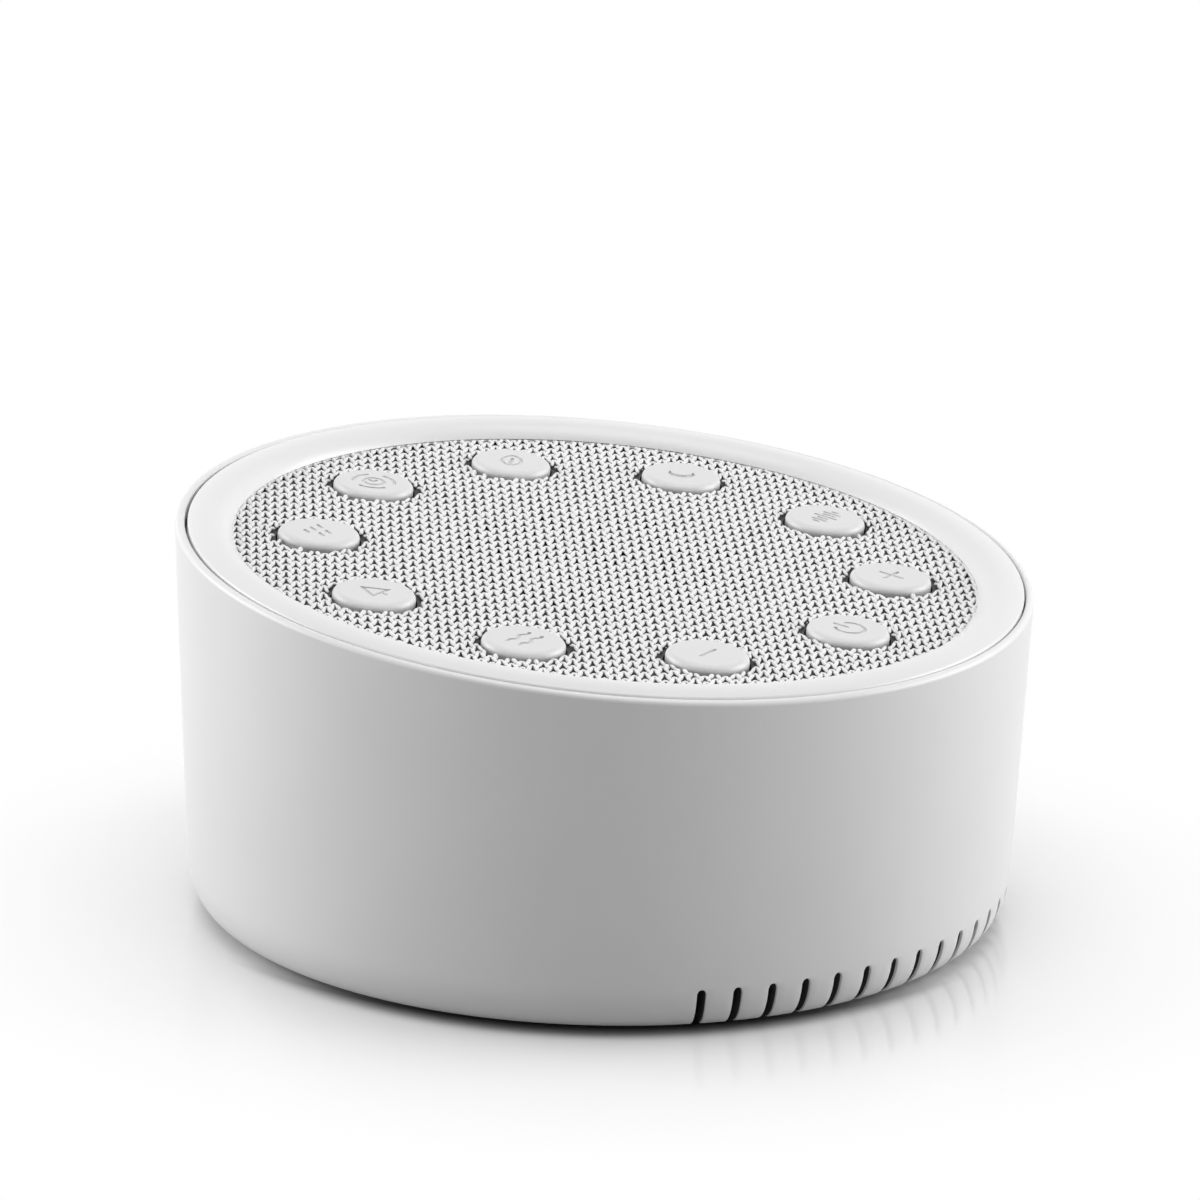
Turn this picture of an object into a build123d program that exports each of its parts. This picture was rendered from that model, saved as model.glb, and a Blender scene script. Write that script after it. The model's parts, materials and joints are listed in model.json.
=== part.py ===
"""White noise sound machine: a round desk unit with a sloping deck.

Millimetres, +Z up. The origin is on the table under the middle of the round body, the low side
with the vents faces -Y, and the deck rises towards +Y. Deck parts are drawn in a deck frame whose
origin is where the body's axis meets the plane of the rim and whose Z is square to that plane.
"""

from build123d import *
from math import cos, radians, sin, tan
import os

# ---- body shell -------------------------------------------------------------------------------
body_radius = 62.92         # wall radius where the bottom rounding ends
wall_draft = 2.33           # degrees, the wall leans outwards as it rises
wall = 2.4                  # side wall thickness
rim_height = 55.5           # rim plane above the table, on the axis
deck_slope = 4.93           # degrees, the deck rises towards the back
rounding_width = 4.2        # bottom rounding, measured in from the wall
rounding_height = 6.7       # bottom rounding, measured up from the underside
floor_gap = 0.9             # underside above the table, which is how far the feet stand out
lip_width = 1.2             # what the rebate leaves of the wall at the front of the rim
lip_outer_fillet = 0.8
lip_inner_fillet = 0.3

# ---- vents ------------------------------------------------------------------------------------
vent_count = 18
vent_pitch = 5.0            # degrees
vent_width = 1.35
vent_top = 7.3              # top of the slots above the table
vent_web = 1.0              # solid web left between the base cover and the slots

# ---- deck -------------------------------------------------------------------------------------
bezel_gap = 0.35            # dark line between rim and bezel
bezel_width = 6.85
bezel_edge_rise = 0.15      # bezel's outer edge above the rim plane
bezel_crest_rise = 0.85     # top of its dome above the rim plane
bezel_crest_inset = 3.14    # top of its dome in from the outer edge
bezel_edge_fillet = 0.3
cloth_level = 1.3           # cloth's top below the rim plane
cloth_thickness = 0.8
cloth_tuck = 1.4            # cloth held under the bezel
cloth_side_gap = 0.2
grille_thickness = 2.0
sound_hole_radius = 1.8
sound_hole_pitch = 5.2
sound_hole_rings = 4
ledge_width = 6.0           # seat under the grille plate, measured in from the rebate
ledge_thickness = 2.2

# ---- buttons ----------------------------------------------------------------------------------
button_first_angle = -54.0  # degrees from +X
button_ring_radius = 43.4
button_radius = 6.2
button_proud = 0.8          # cap's top above the cloth
button_top_fillet = 1.0
button_wall = 1.2
button_side_gap = 0.3       # running gap between cap and grille plate
button_travel = 0.4
flange_width = 1.1
flange_thickness = 0.8
flange_gap = 0.1            # flange under the plate at rest
stem_radius = 1.5
stem_reach = 0.7            # stem below the flange
cloth_hole_gap = 0.35
icon_line = 0.57
icon_depth = 0.3
icon_size = 2.2             # half height of a mark on a cap
power_opening = 70.0        # degrees left open at the top of the power mark
timer_arc_count = 3
timer_arc_opening = 40.0    # degrees between the arcs round the clock mark
well_gap = 0.2              # between the flange and its guide well
well_wall = 1.1
well_depth = 2.2
key_width = 1.6
key_gap = 0.2

# ---- switches and control board ---------------------------------------------------------------
plunger_radius = 1.7
plunger_proud = 0.9
collar_width = 0.5
collar_thickness = 0.5
switch_size = 6.0
switch_base_height = 3.1
switch_cover_thickness = 0.3
switch_gap = 0.15           # round a plunger, and under it when it is pressed
board_thickness = 1.6
control_board_overhang = 8.5    # board beyond the buttons' circle
control_board_gap = 1.35        # between the board and the speaker's screw heads
boss_wall = 1.55
boss_count = 5

# ---- screws -----------------------------------------------------------------------------------
screw_radius = 1.0
screw_gap = 0.05            # round a shank in its pilot hole, and twice that where it passes through
screw_bite = 3.5            # shank in its boss
screw_head_width = 0.9      # head beyond the shank
screw_head_height = 1.3
cross_width = 0.5
cross_depth = 0.6
deck_screw_count = 6
deck_screw_inset = 4.1      # deck screws in from the edge of the rebate

# ---- speaker, drawn downwards from the grille plate -------------------------------------------
speaker_radius = 28.5
speaker_standoff = 2.5
gasket_width = 4.0
gasket_thickness = 1.0
basket_sheet = 1.2
basket_depth = 12.0
basket_wall = 1.0           # thickness of the sloping side, measured along the radius
window_width = 14.0
window_inset = 1.5          # metal left under and beside a window
ear_width = 6.4
ear_count = 4
ear_angle = 45.0
ear_gap = 0.6               # between the speaker's round edge and the bosses
surround_foot = 1.3
surround_roll = 2.0
surround_sheet = 0.4
cone_depth = 6.6
cone_sheet = 0.5
coil_radius = 6.9
coil_wall = 0.5
coil_length = 10.0
dome_rise = 2.4
spider_overhang = 1.0       # spider's edge beyond the top plate
spider_seat_width = 1.8
spider_seat_height = 2.4
spider_sheet = 0.4
spider_waves = 4
magnet_radius = 16.0
magnet_bore = 9.5
magnet_height = 8.0
pole_gap = 0.4
top_plate_height = 3.0
yoke_height = 3.0
yoke_radius = 15.0
terminal_width = 9.0
terminal_height = 5.0
terminal_thickness = 1.4
tag_width = 1.6
tag_thickness = 0.5
tag_reach = 1.5             # tag below the terminal board

# ---- base cover and feet ----------------------------------------------------------------------
cover_inset = 9.4           # base cover's edge in from the wall's radius
cover_thickness = 2.2
cover_gap = 0.3
base_ledge_width = 6.0
base_ledge_thickness = 2.0
base_screw_inset = 4.6      # screws in from the cover's edge
base_boss_wall = 2.35
base_boss_height = 9.0
base_boss_cap = 2.4
base_screw_count = 4
base_screw_angle = 45.0
foot_radius = 5.0
foot_gap = 0.1
foot_inset = 13.6           # feet in from the cover's edge
foot_sink = 0.8
foot_count = 4
foot_fillet = 0.4

# ---- main board and socket --------------------------------------------------------------------
post_height = 5.7
post_wall = 1.35
post_side = 14.6            # posts from the middle plane
post_front_inset = 3.4      # from the board's front edge
post_back_inset = 13.0      # from its back edge
main_board_width = 36.0
main_board_depth = 28.0
tab_width = 20.0
tab_length = 3.5
socket_width = 8.94
socket_height = 3.26
socket_length = 7.35
socket_sheet = 0.3
socket_setback = 0.5        # socket's mouth behind the inner wall
socket_overhang = 2.7       # socket's mouth beyond the board's tab
tongue_width = 6.7
tongue_height = 0.7
tongue_length = 5.0
opening_width = 12.4        # opening in the wall, wide enough for a plug's overmould
opening_height = 6.8
capacitor_radius = 3.0
capacitor_height = 7.5
chip_size = 6.0
chip_height = 1.4
chip_margin = 1.2           # from the board's edge and from the plugs
can_fillet = 0.4

# ---- battery ----------------------------------------------------------------------------------
battery_width = 50.0
battery_depth = 34.0
battery_height = 7.0
battery_back = 4.0
battery_fillet = 2.2
battery_pad = 1.0
tray_wall = 1.4
tray_gap = 0.3
tray_height = 3.2

# ---- leads and their connectors ---------------------------------------------------------------
lead_diameter = 1.2
lead_spacing = 3.0
plug_size = 7.0
plug_depth = 6.0
plug_height = 4.6
plug_inset = 5.5            # middle of the plugs, from the board's front edge
battery_plug_side = -8.0
ribbon_width = 10.0
ribbon_thickness = 0.4
ribbon_plug_depth = 3.0
ribbon_plug_height = 2.0
ribbon_plug_margin = 1.0    # plug beyond the ribbon on each side
ribbon_plug_inset = 9.5     # from the main board's back edge
ribbon_slack = 2.2          # how far its middle bows forward
lead_rise = 0.3             # how little the battery lead climbs at each end
speaker_lead_shift = 1.2    # forward shift of the speaker lead's upper bend

# ---- levels and radii worked out from the sizes above -------------------------------------------
underside = floor_gap
cover_radius = body_radius - cover_inset
base_screw_ring_radius = cover_radius - base_screw_inset
foot_ring_radius = cover_radius - foot_inset
wall_start = underside + rounding_height
cover_top = underside + cover_thickness
inner_floor = cover_top + base_ledge_thickness
lean = tan(radians(wall_draft))
rim_front = rim_height - body_radius * tan(radians(deck_slope))
rim_front_radius = body_radius + (rim_front - wall_start) * lean
seat_radius = rim_front_radius / cos(radians(deck_slope)) - lip_width
bezel_radius = seat_radius - bezel_gap
bezel_inner_radius = bezel_radius - bezel_width
cloth_radius = bezel_inner_radius + cloth_tuck
deck_screw_ring_radius = seat_radius - deck_screw_inset
grille_top = -(cloth_level + cloth_thickness)
grille_bottom = grille_top - grille_thickness
ledge_bottom = grille_bottom - ledge_thickness
button_top = button_proud - cloth_level
flange_radius = button_radius + flange_width
flange_top = grille_bottom - flange_gap
flange_bottom = flange_top - flange_thickness
stem_bottom = flange_bottom - stem_reach
switch_top = stem_bottom - plunger_proud
switch_base_top = switch_top - switch_cover_thickness
collar_radius = plunger_radius + collar_width
collar_top = switch_base_top - flange_gap
collar_bottom = collar_top - collar_thickness
control_board_top = switch_base_top - switch_base_height
control_board_bottom = control_board_top - board_thickness
screw_head_radius = screw_radius + screw_head_width
boss_radius = screw_radius + boss_wall
gasket_radius = speaker_radius - gasket_width
basket_top = grille_bottom - speaker_standoff - gasket_thickness
basket_bottom = basket_top - basket_depth
basket_radius = gasket_radius - surround_foot
surround_radius = basket_radius - surround_roll
ear_ring_radius = speaker_radius + ear_gap + boss_radius
control_board_radius = button_ring_radius + control_board_overhang
control_board_inner_radius = ear_ring_radius + screw_head_radius + control_board_gap
spider_radius = yoke_radius + spider_overhang
pole_top = basket_bottom - basket_sheet
pole_radius = coil_radius - coil_wall - pole_gap
magnet_top = pole_top - top_plate_height
yoke_top = magnet_top - magnet_height
terminal_top = basket_top - basket_sheet
main_board_top = cover_top + post_height + board_thickness
main_board_bottom = main_board_top - board_thickness
socket_level = main_board_top + socket_height / 2
inner_wall = body_radius + (socket_level - wall_start) * lean - wall
socket_mouth = inner_wall - socket_setback
main_board_back = socket_mouth - socket_overhang - tab_length
main_board_front = main_board_back - main_board_depth
post_front = main_board_front + post_front_inset
post_back = main_board_back - post_back_inset
plug_line = main_board_front + plug_inset
plug_top = main_board_top + plug_height
battery_bottom = cover_top + battery_pad
battery_middle = battery_back - battery_depth / 2
far = 4 * body_radius       # longer than anything that it cuts

deck_plane = Plane(origin=(0, 0, rim_height), x_dir=(1, 0, 0),
                   z_dir=(0, -sin(radians(deck_slope)), cos(radians(deck_slope))))
on_deck = deck_plane.location


# ---- shapes used by many parts ----------------------------------------------------------------
def disc(radius, low, high):
    return Pos(0, 0, low) * Cylinder(radius, high - low, align=(Align.CENTER, Align.CENTER, Align.MIN))


def ring(outer, inner, low, high):
    return disc(outer, low, high) - disc(inner, low - 1, high + 1)


def block(width, depth, low, high):
    return Pos(0, 0, low) * Box(width, depth, high - low, align=(Align.CENTER, Align.CENTER, Align.MIN))


def spin_face(face):
    """Turn a face of radii and heights round Z."""
    return revolve(Plane.XZ * face, Axis.Z)


def spin(*points):
    return spin_face(make_face(Polyline(*points, close=True)))


def polar(radius, angle):
    """A place on a circle, not turned."""
    return Pos(radius * cos(radians(angle)), radius * sin(radians(angle)), 0)


def turned(radius, angle):
    """A place on a circle, turned with its radius."""
    return Rot(0, 0, angle) * Pos(radius, 0, 0)


def around(count, first=0.0):
    return [first + 360 / count * i for i in range(count)]


def group(solids):
    return Compound(children=list(solids))


def screw(length, sunk=False):
    """Screw with a cross recess: the head hangs below the origin, or starts there when it is sunk."""
    if sunk:
        low = 0
        head = Cone(screw_head_radius, screw_radius, screw_head_height,
                    align=(Align.CENTER, Align.CENTER, Align.MIN))
    else:
        low = -screw_head_height
        head = disc(screw_head_radius, low, 0)
    cross = [Rot(0, 0, angle) * block(1.3 * screw_head_radius, cross_width, low - 1, low + cross_depth)
             for angle in (0, 90)]
    return head + disc(screw_radius, low + cross_depth, length) - cross


def pilot_hole(low, depth):
    """Hole that a screw bites into, from a seat at this height."""
    return disc(screw_radius + screw_gap, low - 1, low + depth)


def clear_hole():
    return disc(screw_radius + 2 * screw_gap, -far, far)


# ---- body shell -------------------------------------------------------------------------------
def cup(inset, floor):
    """Solid inside of the drafted wall and its rounded bottom, set in by a wall thickness."""
    top = rim_height + body_radius
    pull = 0.55             # how full the rounding is
    corner = (body_radius - rounding_width, floor)
    start = (body_radius - inset, wall_start)
    edge = (start[0] + (top - wall_start) * lean, top)
    rise = pull * (wall_start - floor)
    rounding = Bezier(corner, (corner[0] + pull * (start[0] - corner[0]), floor),
                      (start[0] - lean * rise, wall_start - rise), start)
    outline = [Line((0, floor), corner), rounding, Line(start, edge), Line(edge, (0, top)),
               Line((0, top), (0, floor))]
    return spin_face(make_face(outline))


def above_deck(level):
    return on_deck * block(far, far, level, far)


def vents():
    """Radial slots with round tops through the low front edge."""
    inner = cover_radius + cover_gap + vent_web
    length = body_radius + wall - inner
    low = vent_top - vent_width / 2
    slot = block(length, vent_width, -1, low)
    slot += Pos(0, 0, low) * Rot(0, 90, 0) * Cylinder(vent_width / 2, length)
    first = -90 - vent_pitch * (vent_count - 1) / 2
    return [turned(inner + length / 2, first + vent_pitch * i) * slot for i in range(vent_count)]


def socket_opening():
    shape = SlotOverall(opening_width, opening_height)
    return Pos(0, socket_mouth, socket_level) * extrude(Plane.XZ * shape, -3 * wall)


def lip_edges(body, radius=None):
    """Edges of the shell that lie in the rim plane, all of them or only the rebate's circle."""
    edges = [e for e in body.edges() if abs(deck_plane.to_local_coords(e.center()).Z) < 1e-3]
    if radius is None:
        return edges
    return [e for e in edges if e.geom_type == GeomType.CIRCLE and abs(e.radius - radius) < 1e-3]


def base_boss(angle):
    boss = disc(screw_radius + base_boss_wall, cover_top, cover_top + base_boss_height)
    return polar(base_screw_ring_radius, angle) * boss


def housing():
    """One-piece shell: side wall, rebated rim with its ledge, base ledge, bosses, vents, opening."""
    body = fillet(lip_edges(cup(0, underside) - above_deck(0)), lip_outer_fillet)
    body -= on_deck * disc(seat_radius, grille_bottom, far)
    body = fillet(lip_edges(body, seat_radius), lip_inner_fillet)
    cover_seat = cover_radius + cover_gap
    body -= [
        cup(wall, inner_floor) - above_deck(ledge_bottom),
        on_deck * disc(seat_radius - ledge_width, ledge_bottom - 1, far),
        disc(cover_seat, -1, cover_top),
        disc(cover_seat - base_ledge_width, -1, inner_floor + 1),
    ]
    body += [base_boss(angle) for angle in around(base_screw_count, base_screw_angle)]
    pilot = pilot_hole(cover_top, base_boss_height - base_boss_cap)
    holes = [polar(base_screw_ring_radius, angle) * pilot
             for angle in around(base_screw_count, base_screw_angle)]
    holes += [on_deck * hole for hole in deck_screw_holes()]
    return body - holes - vents() - socket_opening()


# ---- deck -------------------------------------------------------------------------------------
def bezel_ring():
    """Domed satin ring in the rim's rebate that clamps the cloth on the grille plate."""
    pocket = cloth_radius + cloth_side_gap
    inner_edge = (bezel_inner_radius, -cloth_level)
    crest = (bezel_radius - bezel_crest_inset, bezel_crest_rise)
    outer_edge = (bezel_radius, bezel_edge_rise)
    face = make_face([TangentArc(crest, inner_edge, tangent=(-1, 0)),
                      TangentArc(crest, outer_edge, tangent=(1, 0)),
                      Polyline(outer_edge, (bezel_radius, grille_top), (pocket, grille_top),
                               (pocket, -cloth_level), inner_edge)])
    corner = face.vertices().sort_by_distance((*outer_edge, 0))[0]
    face = fillet(corner, bezel_edge_fillet)
    holes = [polar(deck_screw_ring_radius, angle) * pilot_hole(grille_top, deck_screw_bite())
             for angle in around(deck_screw_count, 90)]
    return on_deck * (spin_face(face) - holes)


def deck_screw_bite():
    """How far a deck screw may go up into the bezel."""
    return 0.5 * (cloth_level + cloth_thickness + bezel_crest_rise)


def grille_cloth():
    hole = disc(button_radius + cloth_hole_gap, -far, far)
    holes = [polar(button_ring_radius, angle) * hole for angle in button_angles()]
    return on_deck * (disc(cloth_radius, grille_top, -cloth_level) - holes)


def sound_holes():
    """Rings of round holes over the speaker's cone."""
    hole = disc(sound_hole_radius, grille_bottom - 1, grille_top + 1)
    return [polar(row * sound_hole_pitch, angle) * hole
            for row in range(sound_hole_rings + 1) for angle in around(max(1, 6 * row))]


def key_block(radius, gap, low, high):
    """Bar that reaches out from a button's flange towards the front."""
    reach = well_gap + well_wall + gap
    return Pos(0, -radius - reach / 2, 0) * block(key_width + 2 * gap, reach, low, high)


def button_well():
    """Guide round a button's flange, with a notch that stops the cap from turning."""
    inner = flange_radius + well_gap
    low = grille_bottom - well_depth
    body = ring(inner + well_wall, inner, low, grille_bottom)
    return body - key_block(flange_radius, key_gap, low - 1, grille_bottom)


def boss_angles():
    """Screw bosses stand midway between neighbouring buttons."""
    return around(boss_count, button_first_angle + button_pitch() / 2)


def grille_plate():
    """Perforated plate with button wells, board bosses and the speaker's standoff ring."""
    body = disc(bezel_radius, grille_bottom, grille_top)
    board_boss = disc(boss_radius, control_board_top, grille_bottom)
    ear_boss = disc(boss_radius, basket_top, grille_bottom)
    body += [polar(button_ring_radius, angle) * button_well() for angle in button_angles()]
    body += [polar(button_ring_radius, angle) * board_boss for angle in boss_angles()]
    body += [polar(ear_ring_radius, angle) * ear_boss for angle in around(ear_count, ear_angle)]
    body += ring(speaker_radius, gasket_radius, grille_bottom - speaker_standoff, grille_bottom)
    button_hole = disc(button_radius + button_side_gap, grille_bottom - 1, grille_top + 1)
    holes = [polar(button_ring_radius, angle) * button_hole for angle in button_angles()]
    holes += [polar(button_ring_radius, angle) * pilot_hole(control_board_top, screw_bite + screw_gap)
              for angle in boss_angles()]
    holes += [polar(ear_ring_radius, angle) * pilot_hole(basket_top, screw_bite + screw_gap)
              for angle in around(ear_count, ear_angle)]
    return on_deck * (body - holes - deck_screw_holes() - sound_holes())


def deck_screw_holes():
    hole = disc(screw_radius + 2 * screw_gap, ledge_bottom - 1, grille_top + 1)
    return [polar(deck_screw_ring_radius, angle) * hole for angle in around(deck_screw_count, 90)]


def deck_screws():
    length = ledge_thickness + grille_thickness + deck_screw_bite() - screw_gap
    return group(on_deck * polar(deck_screw_ring_radius, angle) * Pos(0, 0, ledge_bottom) * screw(length)
                 for angle in around(deck_screw_count, 90))


# ---- marks on the caps ------------------------------------------------------------------------
def bar(x, y, length, angle=0.0):
    """Stroke with round ends, centred on a point."""
    return Pos(x, y) * Rot(0, 0, angle) * SlotOverall(length, icon_line)


def bow(x, y, radius, start, sweep):
    """Part of a circle drawn with the same line."""
    return trace(CenterArc((x, y), radius, start, sweep), icon_line)


def hoop(radius):
    return Circle(radius + icon_line / 2) - Circle(radius - icon_line / 2)


def minus_mark():
    return bar(0, 0, 2 * icon_size)


def plus_mark():
    return minus_mark() + bar(0, 0, 2 * icon_size, 90)


def power_mark():
    loop = bow(0, -0.1 * icon_size, icon_size, 90 + power_opening / 2, 360 - power_opening)
    return loop + bar(0, 0.6 * icon_size, 1.3 * icon_size, 90)


def clock_mark():
    """Clock face with two hands inside a broken ring."""
    face = hoop(0.72 * icon_size)
    hands = bar(0, 0.2 * icon_size, 0.62 * icon_size, 90) + bar(0.18 * icon_size, 0, 0.5 * icon_size)
    sweep = 360 / timer_arc_count - timer_arc_opening
    return face + hands + [bow(0, 0, 1.45 * icon_size, angle, sweep)
                           for angle in around(timer_arc_count, 90 - timer_arc_opening)]


def drops_mark():
    """Slanting strokes of rain in two staggered rows."""
    step = 0.75 * icon_size
    upper = [bar(x * step, 0.5 * icon_size, 0.8 * icon_size, 65) for x in (-1, 0, 1)]
    lower = [bar(x * step, -0.6 * icon_size, 0.8 * icon_size, 65) for x in (-0.7, 0.3)]
    return Sketch() + upper + lower


def tree_mark():
    crown = Polyline((0, icon_size), (0.85 * icon_size, -0.5 * icon_size),
                     (-0.85 * icon_size, -0.5 * icon_size), close=True)
    return trace(crown, icon_line) + bar(0, -0.75 * icon_size, 0.7 * icon_size, 90)


def wave_mark():
    """Two rows of waves, each of four linked bows."""
    radius = 0.45 * icon_size
    rows = []
    for level in (0.45 * icon_size, -0.55 * icon_size):
        for i in range(4):
            turn = 225 if i % 2 else 45
            lift = radius * cos(radians(45)) * (1 if i % 2 else -1)
            rows.append(bow((i - 1.5) * 2 * radius * cos(radians(45)), level + lift, radius, turn, 90))
    return Sketch() + rows


def noise_mark():
    """Upright strokes of uneven height."""
    heights = [0.6, 1.3, 0.9, 1.9, 1.1, 1.5, 0.6]
    step = 0.42 * icon_size
    return Sketch() + [bar((i - 3) * step, 0, h * icon_size, 90) for i, h in enumerate(heights)]


def moon_mark():
    return Circle(0.95 * icon_size) - Pos(0.45 * icon_size, 0.3 * icon_size) * Circle(0.8 * icon_size)


def leaf_mark():
    """Two bows that meet in points, with a midrib."""
    tip = icon_size
    upper = RadiusArc((-tip, -tip * 0.5), (tip, tip * 0.5), -1.25 * tip)
    lower = RadiusArc((-tip, -tip * 0.5), (tip, tip * 0.5), 1.25 * tip)
    return trace(upper, icon_line) + trace(lower, icon_line) + bar(-0.2 * tip, -0.1 * tip, 1.6 * tip, 26.6)


button_marks = {
    "volume_up": plus_mark,
    "white_noise": noise_mark,
    "calm": moon_mark,
    "relax": leaf_mark,
    "timer": clock_mark,
    "rain": drops_mark,
    "forest": tree_mark,
    "ocean": wave_mark,
    "volume_down": minus_mark,
    "power": power_mark,
}


def button_pitch():
    return 360 / len(button_marks)


def button_angles():
    return around(len(button_marks), button_first_angle)


# ---- buttons and their switches ---------------------------------------------------------------
def button_cap(angle, mark):
    """Cap with a retaining flange, a key, a stem for the switch and a sunk mark."""
    body = disc(button_radius, flange_bottom, button_top)
    body = fillet(body.edges().group_by(Axis.Z)[-1], button_top_fillet)
    body += disc(flange_radius, flange_bottom, flange_top)
    body += key_block(flange_radius - well_gap, -key_gap / 2, flange_bottom, flange_top)
    body -= disc(button_radius - button_wall, flange_bottom - 1, button_top - button_wall)
    body += disc(stem_radius, stem_bottom, button_top - button_wall)
    body -= Pos(0, 0, button_top - icon_depth) * extrude(mark(), 2 * icon_depth)
    return on_deck * polar(button_ring_radius, angle) * body


def plunger(angle):
    body = disc(plunger_radius, collar_bottom, stem_bottom) + disc(collar_radius, collar_bottom, collar_top)
    return on_deck * polar(button_ring_radius, angle) * body


def switch_bases():
    cavity_floor = collar_bottom - button_travel - switch_gap
    body = block(switch_size, switch_size, control_board_top, switch_base_top)
    body -= disc(collar_radius + switch_gap, cavity_floor, switch_base_top + 1)
    return group(on_deck * polar(button_ring_radius, angle) * body for angle in button_angles())


def switch_covers():
    body = block(switch_size, switch_size, switch_base_top, switch_top)
    body -= disc(plunger_radius + switch_gap, switch_base_top - 1, switch_top + 1)
    return group(on_deck * polar(button_ring_radius, angle) * body for angle in button_angles())


def control_board():
    body = ring(control_board_radius, control_board_inner_radius, control_board_bottom, control_board_top)
    return on_deck * (body - [polar(button_ring_radius, angle) * clear_hole() for angle in boss_angles()])


def control_board_screws():
    body = Pos(0, 0, control_board_bottom) * screw(board_thickness + screw_bite)
    return group(on_deck * polar(button_ring_radius, angle) * body for angle in boss_angles())


def ribbon_plug_width():
    return ribbon_width + 2 * ribbon_plug_margin


def control_board_connector():
    low = control_board_bottom - ribbon_plug_height
    body = block(ribbon_plug_width(), ribbon_plug_depth, low, control_board_bottom)
    return on_deck * Pos(0, button_ring_radius, 0) * body


# ---- speaker ----------------------------------------------------------------------------------
def speaker_gasket():
    return on_deck * ring(speaker_radius, gasket_radius, basket_top, basket_top + gasket_thickness)


def speaker_basket():
    """Pressed frame with ears, windows and a step for the spider."""
    foot = coil_radius + 2 * pole_gap
    spider_inner = spider_radius - spider_seat_width
    seat = basket_bottom + spider_seat_height
    body = spin((basket_radius, basket_top), (speaker_radius, basket_top),
                (speaker_radius, basket_top - basket_sheet),
                (basket_radius + basket_wall, basket_top - basket_sheet),
                (spider_radius + basket_wall, basket_bottom - basket_sheet),
                (foot, basket_bottom - basket_sheet), (foot, basket_bottom),
                (spider_inner, basket_bottom), (spider_inner, seat),
                (spider_radius + pole_gap / 2, seat))
    ear = Pos(ear_ring_radius, 0, 0) * disc(ear_width / 2, basket_top - basket_sheet, basket_top)
    reach = ear_ring_radius - gasket_radius
    ear += Pos(gasket_radius + reach / 2, 0, 0) * block(reach, ear_width, basket_top - basket_sheet,
                                                        basket_top)
    body += [Rot(0, 0, angle) * ear for angle in around(ear_count, ear_angle)]
    window = block(speaker_radius, window_width, seat + window_inset,
                   basket_top - basket_sheet - window_inset)
    cuts = [turned(spider_radius + window_inset + speaker_radius / 2, angle) * window
            for angle in around(ear_count, ear_angle)]
    cuts += [polar(ear_ring_radius, angle) * clear_hole() for angle in around(ear_count, ear_angle)]
    return on_deck * (body - cuts)


def speaker_screws():
    body = Pos(0, 0, basket_top - basket_sheet) * screw(basket_sheet + screw_bite)
    return group(on_deck * polar(ear_ring_radius, angle) * body for angle in around(ear_count, ear_angle))


def speaker_surround():
    """Half roll between two flat feet."""
    level = basket_top + surround_sheet / 2
    middle = surround_roll
    roll = Circle(middle + surround_sheet / 2) - Circle(middle - surround_sheet / 2)
    roll &= Pos(0, middle) * Rectangle(4 * middle, 2 * middle)
    face = Pos(surround_radius, level) * roll
    for side in (-1, 1):
        centre = surround_radius + side * (middle + surround_foot / 2 - surround_sheet / 4)
        face += Pos(centre, level) * Rectangle(surround_foot - surround_sheet / 2, surround_sheet)
    return on_deck * spin_face(face)


def cone_radius():
    return surround_radius - surround_roll


def speaker_cone():
    low = basket_top - cone_depth
    return on_deck * spin((cone_radius() - surround_foot, basket_top), (cone_radius(), basket_top),
                          (coil_radius + 2 * cone_sheet, low), (coil_radius, low),
                          (coil_radius, low + cone_sheet))


def coil_top():
    return basket_top - cone_depth + cone_sheet


def speaker_dust_cap():
    """Thin dome on the end of the voice coil."""
    radius = (coil_radius ** 2 + dome_rise ** 2) / (2 * dome_rise)
    centre = coil_top() + dome_rise - radius
    dome = Pos(0, 0, centre) * (Sphere(radius) - Sphere(radius - surround_sheet))
    return on_deck * (dome & disc(coil_radius, coil_top(), coil_top() + 2 * dome_rise))


def speaker_voice_coil():
    return on_deck * ring(coil_radius, coil_radius - coil_wall, coil_top() - coil_length, coil_top())


def speaker_spider():
    """Corrugated disc from the voice coil to the basket's step."""
    level = basket_bottom + spider_seat_height + spider_sheet
    inner = coil_radius
    step = (spider_radius - spider_seat_width - inner) / (2 * spider_waves)
    top = [(inner, level)]
    for i in range(1, 2 * spider_waves):
        top.append((inner + i * step, level + (spider_sheet if i % 2 else 0)))
    top += [(spider_radius, level)]
    low = [(r, z - spider_sheet) for r, z in reversed(top)]
    return on_deck * spin(*top, *low)


def speaker_top_plate():
    return on_deck * ring(yoke_radius, coil_radius + pole_gap, magnet_top, pole_top)


def speaker_magnet():
    return on_deck * ring(magnet_radius, magnet_bore, yoke_top, magnet_top)


def speaker_yoke():
    back_plate = disc(yoke_radius, yoke_top - yoke_height, yoke_top)
    return on_deck * (back_plate + disc(pole_radius, yoke_top, pole_top))


def terminal_place():
    """Middle of the terminal board, behind the basket's wall and under its flange."""
    return basket_radius + 2 * basket_sheet + terminal_thickness / 2


def speaker_terminal_board():
    body = block(terminal_width, terminal_thickness, terminal_top - terminal_height, terminal_top)
    return on_deck * Pos(0, terminal_place(), 0) * body


def tag_place():
    return terminal_place() + (terminal_thickness + tag_thickness) / 2


def tag_bottom():
    return terminal_top - terminal_height - tag_reach


def speaker_tags():
    body = block(tag_width, tag_thickness, tag_bottom(), terminal_top - 1)
    return group(on_deck * Pos(side * lead_spacing / 2, tag_place(), 0) * body for side in (-1, 1))


# ---- base cover, feet -------------------------------------------------------------------------
def foot_places():
    return [polar(foot_ring_radius, angle) for angle in around(foot_count)]


def base_screw_places():
    return [polar(base_screw_ring_radius, angle) for angle in around(base_screw_count, base_screw_angle)]


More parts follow.
